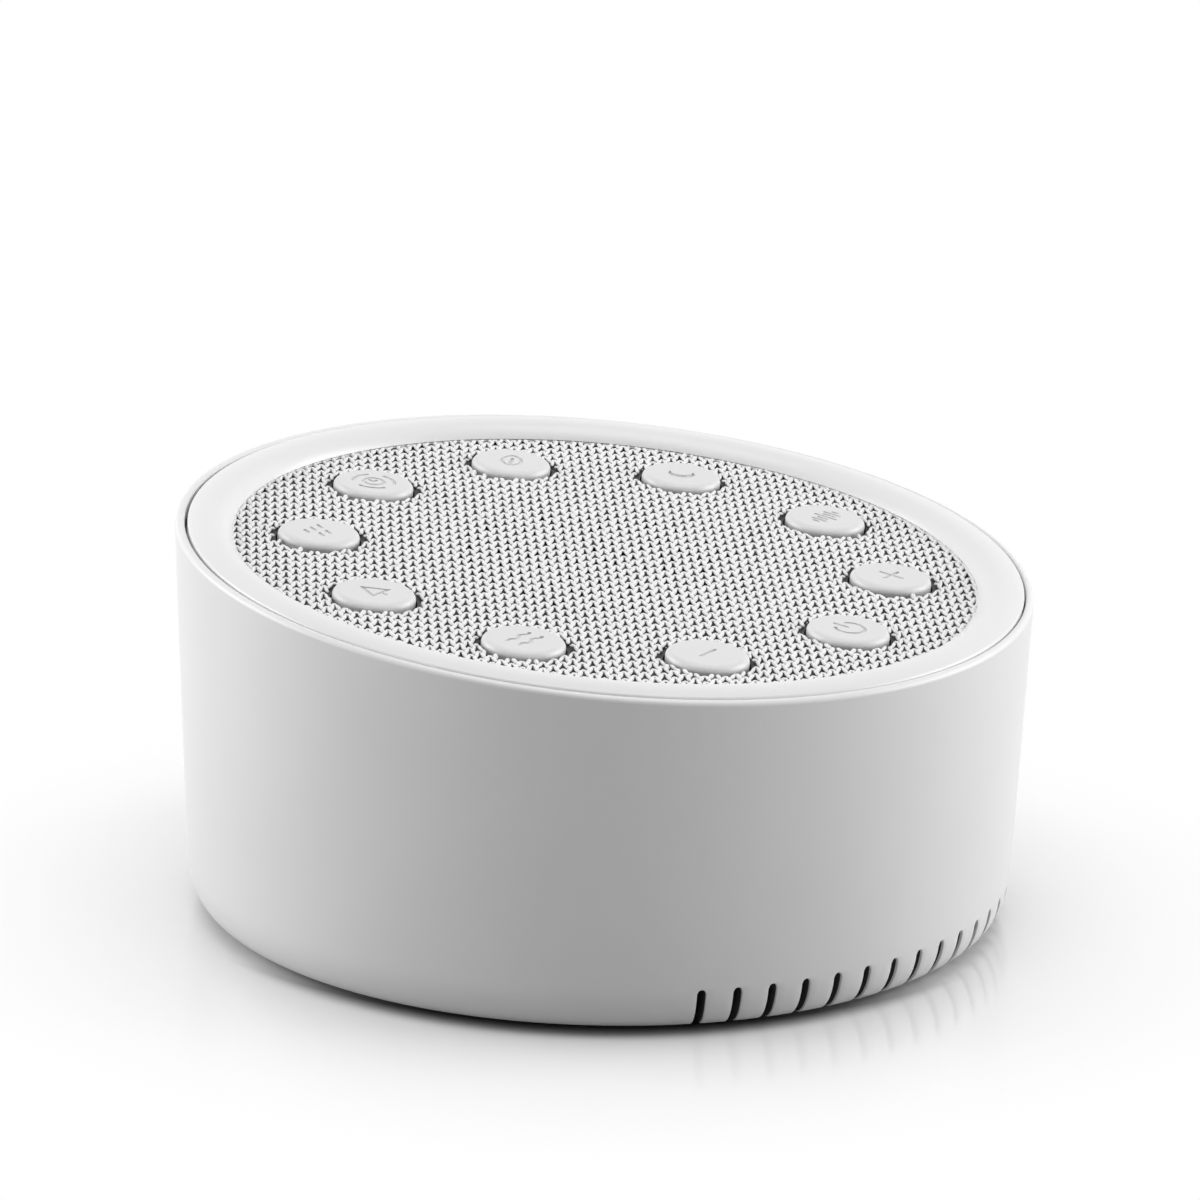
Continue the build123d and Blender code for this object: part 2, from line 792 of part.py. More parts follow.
def post_places():
    return [Pos(side * post_side, y, 0) for side in (-1, 1) for y in (post_front, post_back)]


def base_cover():
    """Round cover with foot recesses, board posts and the battery's tray."""
    body = disc(cover_radius, underside, cover_top)
    post = disc(screw_radius + post_wall, cover_top, main_board_bottom)
    body += [place * post for place in post_places()]
    width = battery_width + 2 * tray_gap
    depth = battery_depth + 2 * tray_gap
    tray = block(width + 2 * tray_wall, depth + 2 * tray_wall, cover_top, cover_top + tray_height)
    body += Pos(0, battery_middle, 0) * (tray - block(width, depth, cover_top - 1, far))
    cuts = [place * disc(foot_radius + foot_gap, -1, underside + foot_sink) for place in foot_places()]
    cuts += [place * pilot_hole(main_board_bottom - screw_bite - screw_gap, post_height)
             for place in post_places()]
    sink = Pos(0, 0, underside) * Cone(screw_head_radius + 2 * screw_gap, screw_radius + 2 * screw_gap,
                                       screw_head_height, align=(Align.CENTER, Align.CENTER, Align.MIN))
    cuts += [place * (sink + clear_hole()) for place in base_screw_places()]
    return body - cuts


def base_screws():
    length = cover_thickness + base_boss_height - base_boss_cap - screw_gap
    body = Pos(0, 0, underside) * screw(length, sunk=True)
    return group(place * body for place in base_screw_places())


def rubber_feet():
    body = disc(foot_radius, 0, underside + foot_sink)
    body = fillet(body.edges().group_by(Axis.Z)[0], foot_fillet)
    return group(place * body for place in foot_places())


# ---- main board and socket --------------------------------------------------------------------
def main_board():
    middle = main_board_front + main_board_depth / 2
    body = Pos(0, middle, 0) * block(main_board_width, main_board_depth, main_board_bottom, main_board_top)
    body += Pos(0, main_board_back + tab_length / 2, 0) * block(tab_width, tab_length, main_board_bottom,
                                                                main_board_top)
    return body - [place * clear_hole() for place in post_places()]


def main_board_screws():
    body = Pos(0, 0, main_board_top) * Rot(180, 0, 0) * screw(board_thickness + screw_bite)
    return group(place * body for place in post_places())


def in_socket(shape, start, length):
    """Extrude a shape along the socket, from a distance behind its mouth."""
    return Pos(0, socket_mouth - start, socket_level) * extrude(Plane.XZ * shape, length)


def usb_c_socket():
    outer = SlotOverall(socket_width, socket_height)
    inner = SlotOverall(socket_width - 2 * socket_sheet, socket_height - 2 * socket_sheet)
    return in_socket(outer, 0, socket_length) - in_socket(inner, -1, socket_length + 1 - socket_sheet)


def usb_c_tongue():
    shape = Rectangle(tongue_width, tongue_height)
    return in_socket(shape, socket_length - socket_sheet - tongue_length, tongue_length)


def chips():
    body = block(chip_size, chip_size, main_board_top, main_board_top + chip_height)
    middle = battery_plug_side / 2
    front = Pos(middle, plug_line + (plug_depth + chip_size) / 2 + chip_margin, 0)
    side = (main_board_width - chip_size) / 2 - chip_margin
    back = Pos(-side, main_board_back - chip_size / 2 - chip_margin, 0)
    return group([front * body, back * body])


def capacitors():
    """Round cans with a scored, slightly rounded top."""
    body = disc(capacitor_radius, main_board_top, main_board_top + capacitor_height)
    body = fillet(body.edges().group_by(Axis.Z)[-1], can_fillet)
    front = Pos(post_side - capacitor_radius / 2, (post_front + post_back) / 2, 0)
    back = Pos(post_side - capacitor_radius, main_board_back - 2 * capacitor_radius, 0)
    return group([front * body, back * body])


def board_connectors():
    """Two lead connectors and the ribbon's connector on the main board."""
    lead = block(plug_size, plug_depth, main_board_top, plug_top)
    flat = block(ribbon_plug_width(), ribbon_plug_depth, main_board_top,
                 main_board_top + ribbon_plug_height)
    return group([Pos(0, plug_line, 0) * lead, Pos(battery_plug_side, plug_line, 0) * lead,
                  Pos(0, ribbon_end()[1], 0) * flat])


# ---- battery ----------------------------------------------------------------------------------
def battery_pack():
    body = block(battery_width, battery_depth, battery_bottom, battery_bottom + battery_height)
    body = fillet(body.edges().filter_by(Axis.X), battery_fillet)
    return Pos(0, battery_middle, 0) * body


def battery_foam():
    return Pos(0, battery_middle, 0) * block(battery_width, battery_depth - 2 * battery_fillet,
                                             cover_top, battery_bottom)


# ---- leads ------------------------------------------------------------------------------------
def rounded_route(name, points):
    """Straight runs joined by arcs as large as the shorter of each corner's two runs allows."""
    points = [Vector(*p) for p in points]
    runs = [b - a for a, b in zip(points, points[1:])]
    radii = []
    for before, after in zip(runs, runs[1:]):
        half_turn = radians(before.get_angle(after)) / 2
        radii.append(0.45 * min(before.length, after.length) / tan(half_turn))
    print(name, "bend radii", [round(r, 1) for r in radii])
    return FilletPolyline(*points, radius=radii)


def lead_pair(name, points):
    """Two round leads side by side along the same route."""
    leads = []
    for side in (-1, 1):
        offset = side * lead_spacing / 2
        route = rounded_route(name, [(x + offset, y, z) for x, y, z in points])
        section = Plane(origin=route @ 0, z_dir=route % 0) * Circle(lead_diameter / 2)
        leads.append(sweep(section, path=route))
    return group(leads)


def speaker_leads():
    """From the speaker's tags down to the main board."""
    start = deck_plane.from_local_coords((0, tag_place(), tag_bottom()))
    drop = start.Z - plug_top
    return lead_pair("speaker lead", [tuple(start),
                                      (0, plug_line - speaker_lead_shift, plug_top + 0.7 * drop),
                                      (0, plug_line, plug_top + 0.35 * drop), (0, plug_line, plug_top)])


def battery_leads():
    """From the back of the battery up to the main board's front plug."""
    start = battery_bottom + battery_height / 2
    end = main_board_top + plug_height / 2
    plug_face = plug_line - plug_depth / 2
    run = (plug_face - battery_back) / 3
    return lead_pair("battery lead", [(battery_plug_side, battery_back, start),
                                      (battery_plug_side, battery_back + run, start + lead_rise),
                                      (battery_plug_side, plug_face - run, end - lead_rise),
                                      (battery_plug_side, plug_face, end)])


def ribbon_start():
    """Under the control board's connector."""
    return deck_plane.from_local_coords((0, button_ring_radius, control_board_bottom - ribbon_plug_height))


def ribbon_end():
    """On the main board's connector."""
    return (0, main_board_back - ribbon_plug_inset, main_board_top + ribbon_plug_height)


def control_ribbon():
    """Flat cable between the boards, with a slack bow in its middle."""
    start = ribbon_start()
    end_y, end_z = ribbon_end()[1:]
    drop = start.Z - end_z
    lean_back = tan(radians(deck_slope)) * 0.2 * drop
    middle = (start.Y + end_y) / 2 - ribbon_slack
    points = [(start.Y, start.Z), (start.Y + lean_back, end_z + 0.8 * drop),
              (middle, end_z + 0.5 * drop), (end_y, end_z + 0.2 * drop), (end_y, end_z)]
    route = rounded_route("ribbon", [(y, z, 0) for y, z in points])
    return extrude(Plane.YZ * trace(route, ribbon_thickness), ribbon_width / 2, both=True)


# ---- the nodes --------------------------------------------------------------------------------
parts = {
    "housing": housing(),
    "bezel_ring": bezel_ring(),
    "grille_cloth": grille_cloth(),
    "grille_plate": grille_plate(),
    "deck_screws": deck_screws(),
    "switch_bases": switch_bases(),
    "switch_covers": switch_covers(),
    "control_board": control_board(),
    "control_board_screws": control_board_screws(),
    "control_board_connector": control_board_connector(),
    "speaker_gasket": speaker_gasket(),
    "speaker_basket": speaker_basket(),
    "speaker_screws": speaker_screws(),
    "speaker_surround": speaker_surround(),
    "speaker_cone": speaker_cone(),
    "speaker_dust_cap": speaker_dust_cap(),
    "speaker_voice_coil": speaker_voice_coil(),
    "speaker_spider": speaker_spider(),
    "speaker_top_plate": speaker_top_plate(),
    "speaker_magnet": speaker_magnet(),
    "speaker_yoke": speaker_yoke(),
    "speaker_terminal_board": speaker_terminal_board(),
    "speaker_tags": speaker_tags(),
    "base_cover": base_cover(),
    "base_screws": base_screws(),
    "rubber_feet": rubber_feet(),
    "main_board": main_board(),
    "main_board_screws": main_board_screws(),
    "usb_c_socket": usb_c_socket(),
    "usb_c_tongue": usb_c_tongue(),
    "chips": chips(),
    "capacitors": capacitors(),
    "board_connectors": board_connectors(),
    "battery_pack": battery_pack(),
    "battery_foam": battery_foam(),
    "speaker_leads": speaker_leads(),
    "battery_leads": battery_leads(),
    "control_ribbon": control_ribbon(),
}
for button_angle, (button_name, button_mark) in zip(button_angles(), button_marks.items()):
    parts[f"button_{button_name}"] = button_cap(button_angle, button_mark)
    parts[f"plunger_{button_name}"] = plunger(button_angle)

os.makedirs("parts", exist_ok=True)
for node, shape in parts.items():
    export_step(shape, f"parts/{node}.step")
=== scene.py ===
# %% [markdown]
# # A white noise sound machine
# This notebook dresses the engineering model of a small round sound machine. The machine is a cup
# of white satin plastic with a sloping deck. Ten push buttons stand in a ring through a knitted
# speaker cloth, and a smooth bezel ring holds the cloth's edge. The engineering model already has
# every part at its real size and place, so each cell either gives one of those parts a finish or
# makes a finer skin in the very same place. Sizes are written in millimetres and turned into
# metres once, because Blender's unit here is the metre.

# %% Load the engineering model
import json
from math import asin, atan2, cos, degrees, hypot, pi, radians, sin, sqrt, tan

import bmesh
import bpy
import numpy as np
from mathutils import Matrix, Vector, geometry


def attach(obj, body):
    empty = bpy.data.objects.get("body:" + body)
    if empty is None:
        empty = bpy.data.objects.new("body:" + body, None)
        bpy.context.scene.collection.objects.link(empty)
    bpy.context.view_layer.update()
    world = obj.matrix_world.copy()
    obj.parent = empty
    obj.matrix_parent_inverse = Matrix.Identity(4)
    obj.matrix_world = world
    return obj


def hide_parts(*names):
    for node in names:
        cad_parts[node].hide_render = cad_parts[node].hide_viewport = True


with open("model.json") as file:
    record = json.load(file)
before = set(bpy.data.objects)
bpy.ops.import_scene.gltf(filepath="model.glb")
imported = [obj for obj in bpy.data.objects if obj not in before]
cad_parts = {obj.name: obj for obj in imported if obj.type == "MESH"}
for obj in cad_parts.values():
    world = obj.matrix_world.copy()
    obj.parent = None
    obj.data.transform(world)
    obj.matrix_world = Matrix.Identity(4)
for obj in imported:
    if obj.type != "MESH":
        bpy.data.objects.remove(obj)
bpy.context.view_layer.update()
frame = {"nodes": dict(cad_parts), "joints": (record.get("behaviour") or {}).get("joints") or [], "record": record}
nodes = frame["nodes"]
MM = 0.001


def add_object(name, data):
    """Puts a new object with this data into the scene."""
    made = bpy.data.objects.new(name, data)
    bpy.context.scene.collection.objects.link(made)
    return made


# %% [markdown]
# ## The deck's own frame
# Everything on the deck is square to the deck, not to the table. A matrix that carries points from
# the deck to the room keeps the later cells simple: they can work on a flat, level deck. The
# buttons slide square to the deck, so the slope can be read from the axis of any button's joint.

# %% Deck frame
press_axis = Vector(frame["joints"][0]["axis"])
deck_slope = atan2(press_axis.y, -press_axis.z)
rim_height = 55.5 * MM          # where the plane of the rim crosses the machine's axis
deck = Matrix.Translation((0, 0, rim_height)) @ Matrix.Rotation(deck_slope, 4, "X")
to_deck = deck.inverted()
deck_normal = -press_axis
print("the deck slopes", round(degrees(deck_slope), 2), "degrees")

# %% [markdown]
# ## The camera
# The camera stands well back and has a long lens, which keeps the circle of the rim from bulging.
# It is set by the direction that it looks from, its distance and a small roll, so it is clear
# what each number does. Its matrix holds its right, up and back directions.

# %% Camera
camera_azimuth = radians(-56.544)
camera_elevation = radians(16.503)
camera_roll = radians(1.358)
camera_distance = 983.71 * MM
camera_aim_side = -0.779 * MM
camera_aim_height = 47.534 * MM
camera_lens = 195.04
camera_sensor = 36

level_right = Vector((cos(camera_azimuth), sin(camera_azimuth), 0))
camera_back = Vector((sin(camera_azimuth) * cos(camera_elevation),
                      -cos(camera_azimuth) * cos(camera_elevation), sin(camera_elevation)))
level_up = camera_back.cross(level_right)
camera_right = cos(camera_roll) * level_right + sin(camera_roll) * level_up
camera_up = cos(camera_roll) * level_up - sin(camera_roll) * level_right
camera_aim = camera_aim_side * level_right + Vector((0, 0, camera_aim_height))

camera = add_object("camera", bpy.data.cameras.new("camera"))
camera_matrix = Matrix((camera_right, camera_up, camera_back)).transposed().to_4x4()
camera_matrix.translation = camera_aim + camera_back * camera_distance
camera.matrix_world = camera_matrix
camera.data.lens = camera_lens
camera.data.sensor_width = camera_sensor
bpy.context.scene.camera = camera
bpy.context.scene.view_settings.view_transform = "Standard"
print("the camera stands at", tuple(round(c, 3) for c in camera.matrix_world.translation))

# %% [markdown]
# ## Nodes for the finishes
# Every finish below is a small graph of shader nodes. A few helpers keep the graphs short to
# write: one adds a node and sets its inputs, one joins an output to an input, and the others make
# the small steps that come back in most graphs.

# %% Node helpers
def add_node(tree, kind, **settings):
    """Adds a shader node. Settings name properties, or inputs where a key starts with in_."""
    node = tree.nodes.new(kind)
    for key, value in settings.items():
        if key.startswith("in_"):
            node.inputs[key[3:].replace("_", " ")].default_value = value
        else:
            setattr(node, key, value)
    return node


def join(tree, start, output, end, socket):
    tree.links.new(start.outputs[output], end.inputs[socket])


def maths(tree, operation, *sources):
    """A Math node. Each source is a number, or a node with the name of its output."""
    node = add_node(tree, "ShaderNodeMath", operation=operation)
    for socket, source in enumerate(sources):
        if isinstance(source, tuple):
            join(tree, *source, node, socket)
        else:
            node.inputs[socket].default_value = source
    return node


def spread(tree, source, output, low, high):
    """Stretches the middle of a noise to the range from low to high."""
    node = add_node(tree, "ShaderNodeMapRange", in_From_Min=0.3, in_From_Max=0.7, in_To_Min=low,
                    in_To_Max=high)
    join(tree, source, output, node, "Value")
    return node


def soft_step(tree, source, output, low, high):
    """A mask that rises softly from 0 at low to 1 at high."""
    node = add_node(tree, "ShaderNodeMapRange", interpolation_type="SMOOTHSTEP", in_From_Min=low,
                    in_From_Max=high)
    join(tree, source, output, node, "Value")
    return node


def mix_tones(tree, mask, output, tone, other_tone):
    """The first tone where the mask is 0, and the other tone where it is 1."""
    node = add_node(tree, "ShaderNodeMix", data_type="RGBA")
    node.inputs["A"].default_value = (*tone, 1)
    node.inputs["B"].default_value = (*other_tone, 1)
    join(tree, mask, output, node, "Factor")
    return node


# %% [markdown]
# ## Effects that many finishes share
# Moulded plastic isn't perfectly even: it has a fine grain, and over larger distances its sheen
# drifts a little. A node group makes such an effect once. The group *grain* puts out a height for
# a Bump node and a mask that drifts slowly, and each finish sets its own grain size on it.

# %% Grain group
def new_group(name, inputs, outputs):
    """An empty node group with float inputs {name: value} and a list of float outputs."""
    group = bpy.data.node_groups.new(name, "ShaderNodeTree")
    for socket, value in inputs.items():
        made = group.interface.new_socket(name=socket, in_out="INPUT",
                                          socket_type="NodeSocketFloat")
        made.default_value = value
    for socket in outputs:
        group.interface.new_socket(name=socket, in_out="OUTPUT", socket_type="NodeSocketFloat")
    return group, group.nodes.new("NodeGroupInput"), group.nodes.new("NodeGroupOutput")


def make_grain():
    group, given, result = new_group(
        "grain", {"Grain Scale": 3000, "Drift Scale": 30, "Stretch": 1}, ["Height", "Drift"])
    place = add_node(group, "ShaderNodeTexCoord")
    stretch = add_node(group, "ShaderNodeCombineXYZ", in_X=1, in_Y=1)
    join(group, given, "Stretch", stretch, "Z")
    scaled = add_node(group, "ShaderNodeVectorMath", operation="MULTIPLY")
    join(group, place, "Object", scaled, 0)
    join(group, stretch, "Vector", scaled, 1)
    fine = add_node(group, "ShaderNodeTexNoise", in_Detail=3, in_Roughness=0.6)
    broad = add_node(group, "ShaderNodeTexNoise", in_Detail=2)
    for noise, size, output in ((fine, "Grain Scale", "Height"), (broad, "Drift Scale", "Drift")):
        join(group, scaled, "Vector", noise, "Vector")
        join(group, given, size, noise, "Scale")
        join(group, noise, "Fac", result, output)
    return group


grain_group = make_grain()
print("node group:", grain_group.name)

# %% [markdown]
# ## One recipe for plain finishes
# A finish takes two close tones of one colour and lets the slow drift mix them, shifts the
# roughness with the same drift, and feeds the grain into a Bump node. What is the same all over
# the surface, such as sheen or coat, is set on the shader's own sockets. No range of roughness
# runs across 0.27, because the renderer's noise filter handles smoother and rougher surfaces
# differently and would draw the border between them as a line.

# %% Plain finishes
drift_size = 30.0
finishes = {}


def new_material(name):
    """A material under its name in finishes. Returns its node tree and its main shader."""
    material = bpy.data.materials.new(name)
    material.use_nodes = True
    finishes[name] = material
    return material.node_tree, material.node_tree.nodes["Principled BSDF"]


def plain_finish(name, tone, other_tone, roughness, grain_size, bump, bump_height=0.02,
                 stretch=1.0, **constants):
    """Two tones and a roughness range that drift, with a fine grain. Sizes are in millimetres."""
    tree, shader = new_material(name)
    grain = add_node(tree, "ShaderNodeGroup", node_tree=grain_group,
                     in_Grain_Scale=1 / (grain_size * MM), in_Drift_Scale=1 / (drift_size * MM),
                     in_Stretch=stretch)
    mask = spread(tree, grain, "Drift", 0, 1)
    colour = mix_tones(tree, mask, "Result", tone, other_tone)
    join(tree, colour, "Result", shader, "Base Color")
    sheen = spread(tree, grain, "Drift", *roughness)
    join(tree, sheen, "Result", shader, "Roughness")
    relief = add_node(tree, "ShaderNodeBump", in_Strength=bump, in_Distance=bump_height * MM)
    join(tree, grain, "Height", relief, "Height")
    join(tree, relief, "Normal", shader, "Normal")
    for key, value in constants.items():
        shader.inputs[key.replace("_", " ")].default_value = value


def grey(value):
    return (value, value, value * 1.003)


plain_finish("shell_plastic", grey(0.76), grey(0.79), (0.36, 0.42), 0.22, 0.35)
plain_finish("bezel_plastic", grey(0.75), grey(0.765), (0.29, 0.34), 0.35, 0.12)
plain_finish("button_plastic", grey(0.68), grey(0.70), (0.34, 0.42), 0.25, 0.3)
plain_finish("inner_plastic", grey(0.030), grey(0.036), (0.45, 0.6), 0.3, 0.4)
# painted shade: a near-black colour for the deep inside of the slots, where little light gets in
plain_finish("painted_slot_shade", grey(0.035), grey(0.045), (0.7, 0.8), 0.5, 0.2)
plain_finish("connector_plastic", grey(0.75), (0.70, 0.68, 0.62), (0.35, 0.45), 0.3, 0.2)
plain_finish("board", (0.010, 0.060, 0.030), (0.014, 0.080, 0.040), (0.29, 0.36), 0.5, 0.25,
             Coat_Weight=0.4)
plain_finish("screw_steel", grey(0.42), grey(0.50), (0.30, 0.42), 0.15, 0.3, Metallic=1.0)
plain_finish("bright_steel", grey(0.58), grey(0.64), (0.29, 0.35), 0.2, 0.25, stretch=6,
             Metallic=1.0)
plain_finish("can_aluminium", grey(0.68), grey(0.74), (0.29, 0.36), 0.2, 0.2, stretch=0.2,
             Metallic=1.0)
plain_finish("brass", (0.62, 0.44, 0.18), (0.70, 0.52, 0.24), (0.29, 0.38), 0.2, 0.25,
             Metallic=1.0)
plain_finish("copper", (0.72, 0.32, 0.16), (0.80, 0.40, 0.22), (0.29, 0.36), 0.1, 0.5,
             stretch=12, Metallic=1.0)
plain_finish("ferrite", grey(0.035), grey(0.05), (0.5, 0.7), 0.4, 0.7)
plain_finish("soft_rubber", grey(0.045), grey(0.06), (0.6, 0.8), 0.3, 0.6, Sheen_Weight=0.15)
plain_finish("foam", grey(0.05), grey(0.09), (0.85, 0.95), 0.5, 1.0, bump_height=0.3)
plain_finish("cone_paper", grey(0.035), grey(0.055), (0.7, 0.85), 0.35, 0.9, bump_height=0.08,
             stretch=0.4)
plain_finish("spider_cloth", (0.50, 0.36, 0.14), (0.58, 0.43, 0.18), (0.7, 0.85), 0.45, 1.0,
             bump_height=0.1)
plain_finish("battery_wrap", (0.02, 0.10, 0.32), (0.03, 0.13, 0.38), (0.18, 0.25), 0.8, 0.15,
             Coat_Weight=0.5)
plain_finish("lead_cover", (0.35, 0.012, 0.010), (0.42, 0.02, 0.015), (0.35, 0.5), 0.3, 0.3)
print(len(finishes), "finishes")

# %% [markdown]
# ## Making a piece
# A new piece is shaped in a *bmesh*, a mesh that can be edited with the same operators as in the
# editor's Edit Mode. When it is ready, its double points are merged, its faces are turned
# outwards, and its sharp edges are marked so that all other edges shade smoothly.

# %% Piece helpers
merge_gap = 0.002 * MM          # points that lie closer together than this become one
hair = 0.01 * MM                # the margin when places are compared
crease_angle = radians(32)      # edges that bend more than this stay sharp

BMVert, BMEdge, BMFace = bmesh.types.BMVert, bmesh.types.BMEdge, bmesh.types.BMFace


def only(kind, geom):
    """The verts, edges or faces of a mixed list."""
    return [g for g in geom if isinstance(g, kind)]


def merge_doubles(bm):
    bmesh.ops.remove_doubles(bm, verts=bm.verts, dist=merge_gap)


def close_up(bm):
    """Merges points that lie on each other and turns all faces outwards."""
    merge_doubles(bm)
    bmesh.ops.recalc_face_normals(bm, faces=bm.faces)


def to_mesh(name, bm):
    mesh = bpy.data.meshes.new(name)
    bm.to_mesh(mesh)
    bm.free()
    return mesh


def mark_creases(mesh):
    mesh.shade_smooth()
    mesh.set_sharp_from_angle(angle=crease_angle)


def make_piece(name, bm, materials, body="body"):
    mesh = to_mesh(name, bm)
    mark_creases(mesh)
    for material in materials:
        mesh.materials.append(finishes[material])
    piece = add_object(name, mesh)
    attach(piece, body)
    print(name, "has", len(mesh.polygons), "faces")
    return piece


def spin(bm, geom, angle, steps, merge=False):
    """Turns an outline round Z and returns its last copy."""
    made = bmesh.ops.spin(bm, geom=geom, cent=(0, 0, 0), axis=(0, 0, 1), dvec=(0, 0, 0),
                          angle=angle, steps=steps, use_merge=merge, use_duplicate=False)
    return made["geom_last"]


def outline(bm, points, closed=False):
    """A line of points given as (radius, height) in millimetres, in the XZ plane."""
    verts = [bm.verts.new((r * MM, 0, z * MM)) for r, z in points]
    pairs = list(zip(verts, verts[1:] + verts[:1]))
    edges = [bm.edges.new(pair) for pair in (pairs if closed else pairs[:-1])]
    return verts + edges


def edges_at(bm, radius, height):
    """Edges of the circle with this radius and height, in millimetres."""
    def on_circle(v):
        beside = abs(hypot(v.co.x, v.co.y) - radius * MM)
        return beside < hair and abs(v.co.z - height * MM) < hair
    return [e for e in bm.edges if on_circle(e.verts[0]) and on_circle(e.verts[1])]


def round_edges(bm, edges, size, segments, clamp=True):
    """Rounds edges with a bevel. The size is in millimetres."""
    bmesh.ops.bevel(bm, geom=[e for e in edges if e.is_valid], offset=size * MM,
                    offset_type="OFFSET", segments=segments, profile=0.5, affect="EDGES",
                    material=-1, clamp_overlap=clamp)


def ring_solid(points, steps):
    """A closed solid of revolution from the outline of its section."""
    bm = bmesh.new()
    spin(bm, outline(bm, points, closed=True), 2 * pi, steps, merge=True)
    close_up(bm)
    return bm


# %% [markdown]
# ## The shell
# The shell is one moulding: a wall that leans out by two degrees, a soft rounding at the foot, a
# row of slots through the low front, and a rounded lip round the sloping top. A boolean cut would
# leave ragged shading round the slots, so the outline of the wall is spun sector by sector, and
# the columns of faces already lie where each slot begins and ends. Removing those faces, arching
# the row above them and extruding the open edge inwards makes each slot. Just inside its mouth a
# slot still shows the wall's own plastic, and deeper down its walls and its far end are painted
# dark, as painted shade where little light gets in.

# %% Shell outline
body_radius = 62.92             # where the rounding at the foot meets the wall
wall_lean = tan(radians(2.33))
wall_start = 7.6                # height at which the rounding meets the wall
wall_thickness = 2.4
underside = 0.9
rounding_width = 4.2
rounding_fullness = 0.55        # gives close to a quarter of an ellipse
rounding_points = 145
points_per_row = 12             # every twelfth of them starts a new row of faces
wall_row = 18.0                 # height of one more row on the wall, well above the slots
wall_end = 75.0                 # above the highest point of the rim
cover_seat = 53.82              # radius of the recess for the base cover
cover_top = 3.1
slot_end = 54.82                # radius at which the slots end inside
bezel_seat = 63.69              # radius of the recess for the bezel, on the deck
grille_bottom = -4.1            # levels on the deck count from the plane of the rim
ledge_width = 6.0
ledge_bottom = -6.3

corner_radius = body_radius - rounding_width
rounding_rise = wall_start - underside
handle_drop = rounding_fullness * rounding_rise
rounding = geometry.interpolate_bezier(
    (corner_radius, 0, underside),
    (corner_radius + rounding_fullness * rounding_width, 0, underside),
    (body_radius - wall_lean * handle_drop, 0, wall_start - handle_drop),
    (body_radius, 0, wall_start), rounding_points)


def wall_radius(height):
    """Outer radius of the shell at a height above the table, in millimetres."""
    if height >= wall_start:
        return body_radius + (height - wall_start) * wall_lean
    return float(np.interp(height, [p.z for p in rounding], [p.x for p in rounding]))


print("wall radius at the top of the rounding:", wall_radius(wall_start))

# %% Slots in the outline
slot_count = 18
slot_pitch = 5.0                # degrees
slot_half = 0.675
slot_top = 7.3
slot_shoulder = slot_top - slot_half
slot_lit = 0.45                 # how far in the light reaches the wall's own plastic
slot_rounding = 0.16            # of the mouth's edge
slot_steps = 6                  # columns of faces across one slot
web_steps = 3                   # and across the wall between two slots
side_margin = 1.02              # a point counts as beside a slot up to this times slot_half
elsewhere = 10.0                # a distance that stands for the far side of the machine
slot_sweep = 2 * degrees(asin(slot_half / body_radius))
first_slot = -90 - slot_pitch * (slot_count - 1) / 2


def shell_outline():
    """Points from the base cover's seat up the outside of the wall, past the rim."""
    rows = [(p.x, p.z) for p in rounding[::points_per_row]]
    nearest = min(range(len(rows)), key=lambda i: abs(rows[i][1] - slot_shoulder))
    rows[nearest] = (wall_radius(slot_shoulder), slot_shoulder)
    above = [(wall_radius(z), z) for z in (wall_row, wall_end)]
    lit_end = corner_radius - slot_lit
    return [(cover_seat, underside), (slot_end, underside), (lit_end, underside), *rows, *above]


def spin_shell():
    bm = bmesh.new()
    line = outline(bm, shell_outline())
    bmesh.ops.rotate(bm, verts=only(BMVert, line), cent=(0, 0, 0),
                     matrix=Matrix.Rotation(radians(first_slot - slot_sweep / 2), 3, "Z"))
    for i in range(slot_count):
        line = spin(bm, line, radians(slot_sweep), slot_steps)
        if i < slot_count - 1:
            line = spin(bm, line, radians(slot_pitch - slot_sweep), web_steps)
    rest = 360 - slot_pitch * (slot_count - 1) - slot_sweep
    spin(bm, line, radians(rest), round(rest))
    merge_doubles(bm)
    return bm


def slot_frame(point):
    """(middle angle of the nearest slot, distance sideways from its middle plane, radius)."""
    angle = degrees(atan2(point.y, point.x))
    index = min(max(round((angle - first_slot) / slot_pitch), 0), slot_count - 1)
    middle = radians(first_slot + index * slot_pitch)
    radius = hypot(point.x, point.y)
    away = (radians(angle) - middle + pi) % (2 * pi) - pi
    return middle, radius * sin(away) if abs(away) < 1 else elsewhere, radius


def slot_point(middle, side, depth, height):
    """A point beside a slot's middle plane, at a distance from the axis measured along it."""
    return Vector((depth * cos(middle) - side * sin(middle),
                   depth * sin(middle) + side * cos(middle), height))


def arch_slot_columns(bm, half, shoulder, inner):
    """Makes the slot columns parallel and lifts the row at the shoulder to a round arch."""
    half_sweep = radians(slot_sweep / 2)
    for v in bm.verts:
        middle, side, radius = slot_frame(v.co)
        height = v.co.z
        if abs(side) >= side_margin * half or height >= shoulder + hair or radius <= inner - hair:
            continue
        column = round(side / (radius * sin(half_sweep)) * slot_steps / 2)
        side = half * column * 2 / slot_steps
        reach = sqrt(radius ** 2 - side ** 2) if radius > inner + hair else inner
        if abs(height - shoulder) < hair:
            height += sqrt(max(half ** 2 - side ** 2, 0))
            reach = sqrt((wall_radius(height / MM) * MM) ** 2 - side ** 2)
        v.co = slot_point(middle, side, reach, height)


